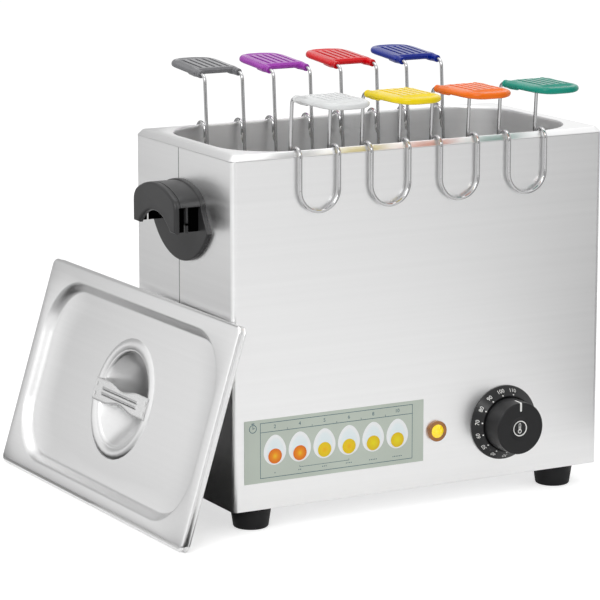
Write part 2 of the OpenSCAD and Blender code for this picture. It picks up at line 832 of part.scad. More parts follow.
// A round bar through a list of points, with round corners
module bar_path(p, d) {
  for (i = [0:len(p) - 2]) {
    v = p[i + 1] - p[i];
    translate(p[i]) rotate([0, acos(v[2] / norm(v)), atan2(v[1], v[0])])
      cylinder(h = norm(v), d = d);
  }
  for (i = [1:len(p) - 2]) translate(p[i]) sphere(d = d * joint_ball);
}

module thermostat_bulb() {
  turn_x = bulb_l / 2 + bulb_d;
  drop_y = front_y + sheet_t + thermo_d / 2;
  body_top = dial_z + thermo_h / 2;
  run_z = (body_top + clamp_z) / 2;
  color([0.8, 0.5, 0.3]) {
    translate([-bulb_l / 2, bulb_y, bulb_z]) rotate([0, 90, 0]) cylinder(h = bulb_l, d = bulb_d);
    bar_path([[bulb_l / 2 - cut, bulb_y, bulb_z], [turn_x, bulb_y, bulb_z],
      [turn_x, bulb_y, run_z], [dial_x, drop_y, run_z], [dial_x, drop_y, body_top]], capillary_d);
  }
}

module bulb_clip() {
  out = bulb_d / 2 + run_gap;
  color("silver") translate([-clip_w / 2, bulb_y, 0]) rotate([90, 0, 90])
    linear_extrude(clip_w) {
      difference() {
        union() {
          translate([0, bulb_z]) circle(out + clip_t);
          translate([-out - clip_t, bulb_z]) square([2 * (out + clip_t), tank_under - bulb_z]);
          for (y = [-1, 1]) translate([y * (out + clip_foot_l / 2), tank_under - clip_t / 2])
            square([clip_foot_l, clip_t], center = true);
        }
        translate([0, bulb_z]) circle(out);
        translate([-out, bulb_z]) square([2 * out, tank_under]);
      }
    }
}

// Tubular element: two runs and a round end, with both tails turned down
module heating_element() {
  half = element_gap / 2;
  run_x = element_l / 2;
  color([0.45, 0.42, 0.4]) translate([0, 0, element_z]) {
    for (y = [-1, 1]) translate([-run_x, y * half, 0]) rotate([0, 90, 0])
      cylinder(h = element_l, d = element_d);
    translate([-run_x, 0, 0]) rotate([0, 0, 90]) bend(half, 180, element_d);
    for (y = [-1, 1]) translate([run_x, y * half, -tail_r]) {
      rotate([90, 0, 0]) bend(tail_r, 90, element_d);
      translate([tail_r, 0, -tail_l]) cylinder(h = tail_l, d = element_d);
      translate([tail_r, 0, -tail_l - pin_l]) cylinder(h = pin_l, d = element_d / 2);
    }
  }
}

module element_clamps() {
  color("silver") for (x = [-1, 1]) translate([x * stud_x, 0, clamp_z]) difference() {
    translate([-clamp_w / 2, -element_gap / 2 - element_d, 0])
      cube([clamp_w, element_gap + 2 * element_d, clamp_t]);
    translate([0, 0, -cut]) cylinder(h = clamp_t + 2 * cut, d = stud_d + 2 * screw_gap);
  }
}

module element_nuts() {
  color("silver") for (x = [-1, 1])
    translate([x * stud_x, 0, clamp_z - stud_d * nut_h_factor]) nut(stud_d);
}

module safety_cutout() {
  color([0.55, 0.5, 0.42]) translate([cutout_x, cutout_y, tank_under - cutout_h]) {
    cylinder(h = cutout_h, d = cutout_d);
    translate([-cutout_plate_l / 2, -cutout_plate_w / 2, cutout_h - sheet_t])
      cube([cutout_plate_l, cutout_plate_w, sheet_t]);
    for (x = [-1, 1]) translate([x * cutout_d / 4 - spade_w / 2, -spade_t / 2, -spade_l])
      cube([spade_w, spade_t, spade_l + cut]);
  }
}

// ---------------------------------------------------------------- supply

module at_block_screws() {
  for (x = [-1, 1]) translate([block_x + x * block_screw_gap / 2, block_y, 0]) children();
}

module terminal_block() {
  pole_gap = block_l / block_poles;
  first_x = block_x - (block_poles - 1) * pole_gap / 2;
  color("ivory") difference() {
    translate([block_x - block_l / 2, block_y - block_w / 2, base_top])
      cube([block_l, block_w, block_h]);
    for (i = [0:block_poles - 1]) translate([first_x + i * pole_gap, block_y, base_top]) {
      for (y = [-1, 1]) translate([0, y * block_w / 4, block_h / 2])
        cylinder(h = block_h, d = block_well_d);
      translate([0, -block_w, block_h / 3]) rotate([-90, 0, 0])
        cylinder(h = 2 * block_w, d = block_wire_d);
    }
  }
  color("silver") at_block_screws() translate([0, 0, base_z])
    cylinder(h = base_t, d = block_screw_d);
}

module earth_stud() {
  color([0.8, 0.65, 0.25]) translate([earth_x, earth_y, base_top]) {
    difference() {
      cylinder(h = washer_t, d = earth_d * nut_d_factor);
      translate([0, 0, -cut]) cylinder(h = washer_t + 2 * cut, d = earth_d + 2 * run_gap);
    }
    translate([0, 0, washer_t]) nut(earth_d);
    translate([0, 0, -base_t]) cylinder(h = earth_l, d = earth_d);
  }
}

module cable_gland() {
  bore_l = gland_thread_l + gland_hex_h + gland_cap_h + gland_tip_h;
  color([0.15, 0.15, 0.15]) translate([gland_x, back_y, gland_z]) rotate([-90, 0, 0])
    difference() {
      union() {
        cylinder(h = gland_hex_h, d = gland_hex_d, $fn = 6);
        translate([0, 0, gland_hex_h]) cylinder(h = gland_cap_h, d = gland_cap_d);
        translate([0, 0, gland_hex_h + gland_cap_h])
          cylinder(h = gland_tip_h, d1 = gland_cap_d, d2 = gland_tip_d);
        translate([0, 0, -gland_thread_l]) cylinder(h = gland_thread_l, d = gland_thread_d);
      }
      translate([0, 0, -gland_thread_l - cut]) cylinder(h = bore_l + 2 * cut, d = gland_bore_d);
    }
}

module gland_nut() {
  color([0.15, 0.15, 0.15]) translate([gland_x, back_y - sheet_t - gland_nut_t, gland_z])
    rotate([-90, 0, 0]) difference() {
      cylinder(h = gland_nut_t, d = gland_nut_d, $fn = 6);
      translate([0, 0, -cut])
        cylinder(h = gland_nut_t + 2 * cut, d = gland_thread_d + 2 * run_gap);
    }
}

// ---------------------------------------------------------------- lid

// Puts the flat lid where it leans: its outer face looks to the left and up
module lean() {
  translate([lid_x, lid_back, lid_low_z]) rotate([0, lid_lean, lid_turn])
    rotate([90, 0, -90]) translate([0, lid_w / 2, 0]) children();
}

// The space inside the pressed pan, grown for its outer side. It starts at height up.
module pan_space(grow, up) {
  w = lid_in_l + 2 * grow;
  d = lid_in_w + 2 * grow;
  r = lid_pan_r + grow;
  h = lid_pan_depth;
  rotate([90, 0, 0]) linear_extrude(d - 2 * r, center = true) pan_outline(w, up);
  rotate([90, 0, 90]) linear_extrude(w - 2 * r, center = true) pan_outline(d, up);
  for (x = [-1, 1], y = [-1, 1]) translate([x * (w / 2 - r), y * (d / 2 - r), -h]) {
    cylinder(h = h, r1 = r - lid_slope, r2 = r);
    cylinder(h = h + up, r = r - lid_slope);
    translate([0, 0, h]) cylinder(h = up, r = r);
  }
}

// The pan cut across: straight down to z = 0, then sloping in to its floor
module pan_outline(w, up) {
  half = w / 2;
  low = half - lid_slope;
  polygon([[-half, up], [half, up], [half, 0], [low, -lid_pan_depth], [-low, -lid_pan_depth],
    [-half, 0]]);
}

// The hollow of the dish, grown for its outer side. It starts this high over the pan's floor.
module dish_space(grow, up) {
  intersection() {
    translate([0, 0, dish_ball_z]) sphere(dish_ball_r + grow, $fn = 96);
    translate([0, 0, up - lid_pan_depth - 2 * dish_depth])
      cylinder(h = 2 * dish_depth, r = dish_ball_r);
  }
}

// The pan's flat floor, inside its sloping walls
module floor_outline() {
  inset = lid_slope + lid_floor_edge;
  rounded_rect(lid_in_l - 2 * inset, lid_in_w - 2 * inset, lid_pan_r - inset);
}

// The border, the turned-back edge and the pan's walls
module lid_rim() {
  color("lightgray") lean() difference() {
    union() {
      difference() {
        translate([0, 0, -lid_skirt]) linear_extrude(lid_skirt)
          rounded_rect(lid_l, lid_w, lid_corner_r);
        translate([0, 0, -lid_skirt - cut]) linear_extrude(lid_skirt + cut - lid_t)
          rounded_rect(lid_l - 2 * lid_t, lid_w - 2 * lid_t, lid_corner_r - lid_t);
      }
      translate([0, 0, -lid_t]) pan_space(lid_t, lid_t / 2);
    }
    pan_space(0, cut);
    translate([0, 0, -lid_pan_depth - 2 * lid_t]) linear_extrude(3 * lid_t) floor_outline();
  }
}

module lid_floor() {
  color("lightgray") lean() translate([0, 0, -lid_pan_depth - lid_t]) linear_extrude(lid_t)
    difference() {
      floor_outline();
      circle(r = dish_ring_r);
    }
}

// The dish with the raised bead around it
module lid_dish() {
  color("lightgray") lean() {
    difference() {
      union() {
        translate([0, 0, -lid_pan_depth - lid_t]) cylinder(h = lid_t, r = dish_ring_r);
        dish_space(lid_t, -lid_t / 2);
      }
      dish_space(0, lid_t / 2);
    }
    translate([0, 0, -lid_pan_depth]) rotate_extrude($fn = 96) intersection() {
      translate([bead_at, bead_up - bead_r]) circle(bead_r);
      translate([bead_at - bead_half + bead_land, -lid_t / 2])
        square([2 * (bead_half - bead_land), 2 * bead_up]);
    }
  }
}

module lid_handle() {
  waist_in = (strip_w - strip_waist) / 2;
  waist_r = (strip_l * strip_l / 16 + waist_in * waist_in) / (2 * waist_in);
  color("silver") lean() translate([0, 0, -lid_pan_depth + bead_up]) {
    linear_extrude(lid_t) difference() {
      square([strip_l, strip_w], center = true);
      for (y = [-1, 1]) translate([0, y * (strip_waist / 2 + waist_r)]) circle(waist_r, $fn = 96);
    }
    for (y = [-1, 1])
      translate([-strip_rib_l / 2, (y * strip_rib_gap - strip_rib_w) / 2, lid_t])
        cube([strip_rib_l, strip_rib_w, strip_rib_h]);
  }
}

// ---------------------------------------------------------------- egg holders

// The children are drawn for the front row; holders 5 to 8 stand in the back row
module at_holder(number) {
  row = number > holders_per_row ? 1 : 0;
  place = number - 1 - row * holders_per_row;
  translate([row_first_x + place * holder_pitch, 0, 0])
    mirror([0, row, 0]) children();
}

function rise_of(number) = number > holders_per_row ? back_rise : front_rise;

// Point on the grip wire's line, s mm outwards from the leg's line
function grip_point(s, rise) = [leg_v(grip_z) + s * cos(rise), grip_z + s * sin(rise)];

module holder_wire(number) {
  rise = rise_of(number);
  path = [grip_point(grip_start + wire_in_grip, rise), grip_point(0, rise),
    [leg_v(cradle_z), cradle_z], [cradle_far_v, cradle_z], [cradle_far_v, egg_ring_z + wire_d]];
  color("silver") at_holder(number) {
    for (x = [-leg_x, leg_x]) stand(x) flat_wire(path, bend_r, wire_d);
    translate([0, -ring_v, egg_ring_z]) rotate_extrude() translate([egg_ring_r, 0])
      circle(d = ring_wire_d);
    translate([-leg_x, -ring_v, cradle_z]) rotate([0, 90, 0])
      cylinder(h = leg_gap, d = ring_wire_d);
  }
}

module holder_hook(number) {
  limb_low = loop_bottom_z + wire_r + leg_x;
  color("silver") at_holder(number) {
    for (x = [-leg_x, leg_x]) {
      stand(x) translate([hook_v, hook_z, 0]) bend(hook_r, 180, wire_d);
      translate([x, -hook_in_v, hook_z - hook_leg_l]) cylinder(h = hook_leg_l, d = wire_d);
      translate([x, -loop_v, limb_low]) cylinder(h = hook_z - limb_low, d = wire_d);
    }
    translate([0, -loop_v, limb_low]) rotate([90, 180, 0]) bend(leg_x, 180, wire_d);
  }
}

// A grip drawn flat: X across, Y outwards from the leg's line, Z up, the wires at z = 0
module grip_flat() {
  r = grip_corner_r;
  edge = grip_t / 2;
  inner = grip_start + sleeve_l - grip_root;
  outer = grip_start + grip_l;
  nose = 2;                              // the outer end bows out by this much
  hollow_w = grip_w - 2 * grip_side;
  hollow_start = inner + grip_root;
  hollow_l = outer - grip_lip - hollow_start;
  rib_gap = hollow_w / grip_ribs;
  difference() {
    union() {
      hull() for (z = [-1, 1], layer = [0, 1]) {
        inset = layer * grip_inset;
        h = edge * (layer == 0 ? 0.4 : 1);
        translate([0, 0, z > 0 ? 0 : -h]) linear_extrude(h) {
          translate([-grip_w / 2 + inset, inner]) square([grip_w - 2 * inset, 1]);
          for (x = [-1, 1]) translate([x * (grip_w / 2 - r), outer - r - nose])
            circle(r - inset, $fn = 32);
          translate([-nose * 2, outer - nose]) square([nose * 4, nose - inset / 2]);
        }
      }
      for (x = [-leg_x, leg_x]) translate([x, grip_start, 0]) rotate([-90, 0, 0])
        cylinder(h = sleeve_l + grip_t, d = sleeve_d);
    }
    translate([-hollow_w / 2, hollow_start, edge - grip_hollow]) difference() {
      cube([hollow_w, hollow_l, grip_t]);
      for (i = [1:grip_ribs - 1]) translate([i * rib_gap - grip_rib_w / 2, -cut, -cut])
        cube([grip_rib_w, hollow_l + 2 * cut, grip_hollow + cut - grip_rib_low]);
    }
    for (x = [-leg_x, leg_x]) translate([x, grip_start - cut, 0]) rotate([-90, 0, 0])
      cylinder(h = wire_in_grip + run_gap + cut, d = wire_d + 2 * run_gap);
  }
}

GRIP_COLOURS = ["whitesmoke", "gold", "darkorange", "teal", "gray", "orchid", "crimson", "navy"];

module holder_grip(number) {
  rise = rise_of(number);
  color(GRIP_COLOURS[number - 1]) at_holder(number)
    translate([0, -leg_v(grip_z), grip_z]) rotate([0, 0, 180]) rotate([rise, 0, 0]) grip_flat();
}

// ---------------------------------------------------------------- nodes

front_shell();
rear_shell();
base_plate();
tank();
translate([-foot_x, -foot_y, 0]) foot();  // foot_front_left
translate([foot_x, -foot_y, 0]) foot();  // foot_front_right
translate([-foot_x, foot_y, 0]) foot();  // foot_rear_left
translate([foot_x, foot_y, 0]) foot();  // foot_rear_right
foot_screws();
left_handle();
right_handle();
handle_screws();
egg_chart_label();
pilot_lamp_bezel();
pilot_lamp_lens();
pilot_lamp_nut();
dial_ring();
thermostat_body();
thermostat_screws();
thermostat_bulb();
bulb_clip();
thermostat_shaft();
thermostat_knob();
heating_element();
element_clamps();
element_nuts();
safety_cutout();
terminal_block();
earth_stud();
cable_gland();
gland_nut();
lid_rim();
lid_floor();
lid_dish();
lid_handle();
for (n = [1:2 * holders_per_row]) {
  holder_wire(n);
  holder_hook(n);
  holder_grip(n);
}
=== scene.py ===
"""Looks of the countertop egg boiler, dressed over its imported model.

Sizes are in millimetres until a mesh is made; mm() turns them into metres.
Frame: middle of the casing's footprint on the counter, X right, Y back, Z up.
"""
import math

import bmesh
import bpy
from mathutils import Matrix, Vector, noise

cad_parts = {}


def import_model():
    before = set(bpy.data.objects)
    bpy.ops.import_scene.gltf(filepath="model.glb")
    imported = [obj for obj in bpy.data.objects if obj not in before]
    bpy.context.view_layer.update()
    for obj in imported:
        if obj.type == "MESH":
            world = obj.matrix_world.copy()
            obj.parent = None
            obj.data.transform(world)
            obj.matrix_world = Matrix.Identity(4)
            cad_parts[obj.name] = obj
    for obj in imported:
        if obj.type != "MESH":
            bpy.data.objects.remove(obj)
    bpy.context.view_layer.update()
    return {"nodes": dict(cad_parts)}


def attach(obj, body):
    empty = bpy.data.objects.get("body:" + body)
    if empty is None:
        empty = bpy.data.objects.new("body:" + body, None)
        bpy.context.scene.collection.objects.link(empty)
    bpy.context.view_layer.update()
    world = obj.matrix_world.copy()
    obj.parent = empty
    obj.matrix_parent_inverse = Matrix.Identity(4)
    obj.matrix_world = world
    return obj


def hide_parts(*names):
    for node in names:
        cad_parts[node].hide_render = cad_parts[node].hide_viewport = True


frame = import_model()
nodes = frame["nodes"]

# ---------------------------------------------------------------- sizes, millimetres

CASING_W, CASING_D = 332.0, 166.0
FRONT_Y = -CASING_D / 2
SIDE_X = CASING_W / 2
SHELL_TOP, SHELL_LOW, SEAM_Y = 289.9, 18.9, 7.5
RIM_OVER = 0.8
RIM_TOP = 294.7
TANK_W, TANK_D, TANK_R, TANK_DEPTH, TANK_T = 306.0, 158.0, 48.0, 172.0, 1.0

HOLDER_PITCH = 62.0
LEG_X = 16.8
LEG_RIM_V, LEG_LEAN = 70.4, 4.0
GRIP_Z = 334.2
HOOK_Z = 289.8
GRIP_HALF, GRIP_T, GRIP_IN, GRIP_OUT, GRIP_NOSE = 21.0, 3.8, 12.0, 66.0, 21.0
SLOT_IN, SLOT_OUT, SLOT_DEEP, SLOT_HALF = 15.5, 51.0, 1.6, 1.1
SLOT_MIDDLES = (-12.0, -6.0, 0.0, 6.0, 12.0)

HANDLE_Y, HOOD_Z = -1.0, 230.5
HOOD_H, HOOD_HALF, HOOD_TOP_R, HOOD_CORNER_R = 35.0, 37.0, 66.0, 12.0
HOOD_OUT, HOOD_WALL, HOOD_ROOF, HOOD_SIDE_H = 26.0, 4.0, 3.5, 20.0
ARCH_HALF, ARCH_H = 27.0, 13.0
RIB_AT, RIB_T, RIB_LOW = 14.5, 1.8, 6.0
PLATE_T, PLATE_HALF, PLATE_DROP, PLATE_EDGE = 4.0, 47.5, 27.5, 1.0

DIAL_X, DIAL_Z = 76.0, 63.0
DIAL_R, DIAL_EDGE_T, DIAL_IN_R, DIAL_LIP, DIAL_RISE = 30.0, 1.2, 22.1, 0.9, 7.2
KNOB_R, KNOB_FACE_R, KNOB_OUT = 21.5, 20.9, 26.3
DIMPLE_R, DIMPLE_H = 10.0, 1.4
LAMP_X, LENS_R, LAMP_FLANGE_T = 14.0, 5.45, 2.2

LABEL_T = 0.4

LID_L, LID_W, LID_T, LID_SKIRT, LID_CORNER_R = 325.0, 176.0, 1.0, 7.0, 6.0
LID_BORDER, LID_PAN_DEPTH, LID_PAN_R, LID_SLOPE = 13.0, 8.0, 48.0, 5.0
DISH_RING_R, DISH_R, DISH_DEPTH, BEAD_UP = 49.0, 39.5, 16.0, 1.6
STRIP_L, STRIP_W, STRIP_WAIST = 90.0, 18.0, 11.0
LID_LEAN, LID_TURN, LID_BACK = 17.2, 1.2, 53.7
REST_GAP = 0.3

SMOOTH_BELOW = 34  # degrees between two faces
MERGE_BELOW = 0.0005  # between two points
NOISE_LOW, NOISE_HIGH = 0.3, 0.7  # the part of a noise that is used in full
WHITE = (1, 1, 1, 1)


def mm(value):
    return value * 0.001


# ---------------------------------------------------------------- materials


def wired(tree, kind, inputs, out=0, **settings):
    """Adds a node and gives one of its outputs. An input is a constant or another node's output."""
    made = tree.nodes.new(kind)
    for key, value in settings.items():
        setattr(made, key, value)
    for socket, value in inputs.items():
        if isinstance(value, bpy.types.NodeSocket):
            tree.links.new(value, made.inputs[socket])
        else:
            made.inputs[socket].default_value = value
    return made.outputs[out]


def node_material(name):
    material = bpy.data.materials.new(name)
    material.use_nodes = True
    return material, material.node_tree


class Shader:
    """A principled material whose colour, roughness and bump come from procedural nodes."""

    def __init__(self, name, colour, roughness, metallic=0.0):
        self.material, self.tree = node_material(name)
        self.bsdf = self.tree.nodes["Principled BSDF"]
        self.colour, self.roughness, self.normal = colour, roughness, None
        self.set("Base Color", (*colour, 1.0))
        self.set("Metallic", metallic)
        self.set("Roughness", roughness)
        self.coordinates = wired(self.tree, "ShaderNodeTexCoord", {}, "Object")

    def set(self, socket, value):
        self.bsdf.inputs[socket].default_value = value

    def feed(self, socket, output):
        self.tree.links.new(output, self.bsdf.inputs[socket])

    def noise(self, scale, detail=3.0, stretch=(1, 1, 1)):
        """Noise on the object's own coordinates (metres), stretched along its three axes."""
        place = wired(self.tree, "ShaderNodeMapping", {"Scale": stretch, "Vector": self.coordinates})
        return wired(self.tree, "ShaderNodeTexNoise", {"Scale": scale, "Detail": detail, "Vector": place})

    def vary_roughness(self, fac, spread):
        """The roughness swings by that much both ways."""
        self.feed("Roughness", wired(self.tree, "ShaderNodeMapRange", {
            "Value": fac, "From Min": NOISE_LOW, "From Max": NOISE_HIGH,
            "To Min": self.roughness - spread, "To Max": self.roughness + spread}))

    def ramp(self, fac, stops):
        """Takes the colour from a value, through (place, colour) stops."""
        output = wired(self.tree, "ShaderNodeValToRGB", {"Fac": fac})
        points = output.node.color_ramp.elements
        points[0].position, points[1].position = stops[0][0], stops[-1][0]
        points[0].color, points[1].color = (*stops[0][1], 1), (*stops[-1][1], 1)
        for place, colour in stops[1:-1]:
            points.new(place).color = (*colour, 1)
        self.feed("Base Color", output)

    def vary_colour(self, fac, dark, light):
        """The colour swings between dark and light times what is written."""
        self.ramp(fac, [(NOISE_LOW, [c * dark for c in self.colour]),
                        (NOISE_HIGH, [min(1.0, c * light) for c in self.colour])])

    def turn_normal(self, normal):
        self.normal = normal
        self.feed("Normal", normal)

    def bump(self, fac, strength, distance):
        """Adds a bump of that depth in metres."""
        inputs = {"Strength": strength, "Distance": distance, "Height": fac}
        if self.normal is not None:
            inputs["Normal"] = self.normal
        self.turn_normal(wired(self.tree, "ShaderNodeBump", inputs))

    def round_edges(self, radius):
        """Softens sharp edges by that radius in metres. It goes before any bump."""
        self.turn_normal(wired(self.tree, "ShaderNodeBevel", {"Radius": radius}, samples=4))


def satin(name, colour, roughness, line_stretch, streak_stretch, streak_detail, swell):
    """Satin steel: fine brush lines, wider streaks and a slow swell of that scale."""
    made = Shader(name, colour, roughness, metallic=1.0)
    made.round_edges(0.0006)
    lines = made.noise(1.0, 2.0, line_stretch)
    streaks = made.noise(1.0, streak_detail, streak_stretch)
    made.vary_roughness(streaks, 0.02)
    made.vary_colour(streaks, 0.985, 1.01)
    made.bump(lines, 0.1, 0.00001)
    made.bump(made.noise(swell, 1.0), 0.02, 0.0004)
    return made.material


def brushed(name, colour, roughness, along):
    """Satin metal whose brush lines follow the axis named along."""
    lines = [3.0 if axis == along else 2000.0 for axis in "xyz"]
    streaks = [1.2 if axis == along else 320.0 for axis in "xyz"]
    return satin(name, colour, roughness, lines, streaks, 2.0, 7.0)


def sheet(name, colour, roughness):
    """Satin sheet steel brushed level: lines lie across every upright face."""
    return satin(name, colour, roughness, (4, 4, 1900), (1.5, 1.5, 260), 3.0, 6.0)


def wire_steel(name):
    """Polished stainless wire with faint drawing marks."""
    made = Shader(name, (0.55, 0.55, 0.555), 0.1, metallic=1.0)
    marks = made.noise(900.0, stretch=(1, 1, 0.15))
    made.vary_roughness(marks, 0.05)
    made.vary_colour(made.noise(60.0), 0.94, 1.03)
    made.bump(marks, 0.12, 0.00003)
    return made.material


def moulded(name, colour, roughness, grain=2600.0, coat=0.0, gloss=0.3):
    """Moulded plastic with a fine spark-eroded skin."""
    made = Shader(name, colour, roughness)
    made.round_edges(0.0004)
    patches = made.noise(40.0)
    made.vary_roughness(patches, 0.05)
    made.vary_colour(patches, 0.93, 1.05)
    made.bump(made.noise(grain, 2.0), 0.25, 0.00003)
    made.set("Specular IOR Level", gloss)
    made.set("Coat Weight", coat)
    made.set("Coat Roughness", 0.12)
    return made.material


def rubber(name):
    """Black rubber with grit and a little dust."""
    made = Shader(name, (0.012, 0.012, 0.013), 0.55)
    made.set("Specular IOR Level", 0.25)
    made.round_edges(0.0008)
    dust = made.noise(60.0, 4.0, (1, 1, 2.5))
    made.vary_roughness(dust, 0.12)
    made.vary_colour(dust, 0.8, 1.5)
    made.bump(made.noise(1500.0, 4.0), 0.4, 0.00008)
    return made.material


def printed(name, colour):
    """Ink on film or on plastic."""
    made = Shader(name, colour, 0.42)
    fleck = made.noise(700.0)
    made.vary_colour(fleck, 0.97, 1.02)
    made.vary_roughness(fleck, 0.05)
    return made.material


def rim_ramp(name, stops):
    """Ink that changes colour from a shape's middle (0) to its edge (1), by the mesh's own value."""
    made = Shader(name, stops[0][1], 0.35)
    value = wired(made.tree, "ShaderNodeAttribute", {}, "Fac", attribute_name="to_edge")
    made.ramp(wired(made.tree, "ShaderNodeMath", {0: made.noise(420.0), 1: 0.16, 2: value},
                    operation="MULTIPLY_ADD"), stops)
    return made.material


def dress(name, material):
    """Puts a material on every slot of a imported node."""
    slots = nodes[name].data.materials
    if len(slots) == 0:
        slots.append(material)
    for i in range(len(slots)):
        slots[i] = material


# ---------------------------------------------------------------- mesh helpers


def in_scene(name, data):
    """A new object in the scene for a mesh, a lamp, a camera or a text."""
    made = bpy.data.objects.new(name, data)
    bpy.context.scene.collection.objects.link(made)
    return made


def new_mesh(name, verts, faces, material):
    """A mesh from points in millimetres."""
    mesh = bpy.data.meshes.new(name)
    mesh.from_pydata([(mm(x), mm(y), mm(z)) for x, y, z in verts], [], faces)
    mesh.materials.append(material)
    return mesh


def piece(name, shape, material, body, smooth=True, matrix=None, replaces=()):
    """Makes one piece from a (verts, faces) shape and hangs it on a body."""
    mesh = new_mesh(name, *shape, material)
    build = bmesh.new()
    build.from_mesh(mesh)
    bmesh.ops.remove_doubles(build, verts=build.verts, dist=mm(MERGE_BELOW))
    bmesh.ops.recalc_face_normals(build, faces=build.faces)
    build.to_mesh(mesh)
    build.free()
    made = in_scene(name, mesh)
    if matrix is not None:
        made.matrix_world = matrix
    if smooth:
        mesh.polygons.foreach_set("use_smooth", [True] * len(mesh.polygons))
        with bpy.context.temp_override(object=made, selected_editable_objects=[made],
                                       selected_objects=[made], active_object=made):
            bpy.ops.object.shade_smooth_by_angle(angle=math.radians(SMOOTH_BELOW))
    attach(made, body)
    if replaces:
        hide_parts(*replaces)


def loft(rings, cap_first=True, cap_last=True):
    """Quads between closed rings of equal length, with flat ends."""
    count = len(rings[0])
    verts = [p for ring in rings for p in ring]
    faces = []
    for k in range(len(rings) - 1):
        for i in range(count):
            j = (i + 1) % count
            faces.append((k * count + i, k * count + j, (k + 1) * count + j, (k + 1) * count + i))
    if cap_first:
        faces.append(tuple(reversed(range(count))))
    if cap_last:
        faces.append(tuple(range((len(rings) - 1) * count, len(rings) * count)))
    return verts, faces


def merged(*shapes):
    """Several (verts, faces) shapes as one."""
    verts, faces = [], []
    for v, f in shapes:
        start = len(verts)
        verts += v
        faces += [tuple(i + start for i in face) for face in f]
    return verts, faces


def moved(shape, place):
    """A shape with every point passed through place()."""
    return [place(*p) for p in shape[0]], shape[1]


def rounded_ring(w, d, r, z, arc=14, straight=10):
    """A rounded rectangle at height z. Corners match from one ring to the next."""
    r = max(r, 0.05)
    points = []
    corners = [(1, 1, 0), (-1, 1, 90), (-1, -1, 180), (1, -1, 270)]
    for n, (sx, sy, start) in enumerate(corners):
        cx, cy = sx * (w / 2 - r), sy * (d / 2 - r)
        for i in range(arc + 1):
            a = math.radians(start + 90 * i / arc)
            points.append((cx + r * math.cos(a), cy + r * math.sin(a), z))
        nx, ny, _ = corners[(n + 1) % 4]
        ex, ey = nx * (w / 2 - r), ny * (d / 2 - r)
        a = math.radians(start + 90)
        from_x, from_y = cx + r * math.cos(a), cy + r * math.sin(a)
        to_x, to_y = ex + r * math.cos(a), ey + r * math.sin(a)
        for i in range(1, straight):
            t = i / straight
            points.append((from_x + (to_x - from_x) * t, from_y + (to_y - from_y) * t, z))
    return points


def circle(r, count, cx=0.0, cy=0.0):
    return [(cx + r * math.cos(math.tau * i / count), cy + r * math.sin(math.tau * i / count))
            for i in range(count)]


def quarter(steps):
    """Sine and cosine over a quarter turn."""
    turns = [math.radians(90 * i / steps) for i in range(steps + 1)]
    return [(math.sin(a), math.cos(a)) for a in turns]


def arc_points(cx, cy, r, start, end, steps):
    """Points on an arc, angles in degrees."""
    return [(cx + r * math.cos(math.radians(start + (end - start) * i / steps)),
             cy + r * math.sin(math.radians(start + (end - start) * i / steps)))
            for i in range(steps + 1)]


def inset(outline, amount):
    """A closed counter-clockwise outline moved inwards by amount, corners mitred."""
    count = len(outline)
    result = []
    for i in range(count):
        before, here, after = outline[i - 1], outline[i], outline[(i + 1) % count]
        a = Vector((here[0] - before[0], here[1] - before[1])).normalized()
        b = Vector((after[0] - here[0], after[1] - here[1])).normalized()
        na, nb = Vector((-a.y, a.x)), Vector((-b.y, b.x))
        middle = na + nb
        if middle.length < 1e-6:
            middle = na
        middle.normalize()
        reach = amount / max(0.35, middle.dot(na))
        result.append((here[0] + middle.x * reach, here[1] + middle.y * reach))
    return result


def slab(outline, low, high, edge=0.0, edge_low=0.0, steps=4):
    """An outline raised from low to high, its upper and lower edges rounded."""
    turns = quarter(steps)
    rings = []
    for sine, cosine in turns if edge_low else turns[-1:]:
        shrunk = inset(outline, edge_low * (1 - sine))
        rings.append([(x, y, low + edge_low * (1 - cosine)) for x, y in shrunk])
    for sine, cosine in turns if edge else turns[:1]:
        shrunk = inset(outline, edge * (1 - cosine))
        rings.append([(x, y, high - edge * (1 - sine)) for x, y in shrunk])
    return loft(rings)


def ring_solid(outer, inner, low, high):
    """A flat ring between two outlines of equal length."""
    rings = [[(x, y, low) for x, y in outer], [(x, y, high) for x, y in outer],
             [(x, y, high) for x, y in inner], [(x, y, low) for x, y in inner]]
    rings.append(rings[0])
    return loft(rings, False, False)


def smooth_step(value, low, high):
    """0 below low, 1 above high, eased between them."""
    t = min(1.0, max(0.0, (value - low) / (high - low)))
    return t * t * (3 - 2 * t)


def on_panel(x, z):
    """Places a drawing in front of the panel: its Z points out of the panel, its Y up."""
    return lambda u, v, out: (x + u, FRONT_Y - out, z + v)


# ---------------------------------------------------------------- casing


def dress_casing():
    shell = sheet("casing_steel", (0.9, 0.9, 0.9), 0.33)
    foot = rubber("foot_rubber")
    bright = wire_steel("plated_steel")
    dress("base_plate", sheet("base_steel", (0.6, 0.6, 0.605), 0.42))
    for name in ("front_shell", "rear_shell"):
        dress(name, shell)
    for name in nodes:
        if name.startswith("foot_") and name != "foot_screws":
            dress(name, foot)
    for name in ("foot_screws", "handle_screws", "thermostat_screws", "thermostat_shaft",
                 "element_nuts", "element_clamps", "bulb_clip"):
        dress(name, bright)


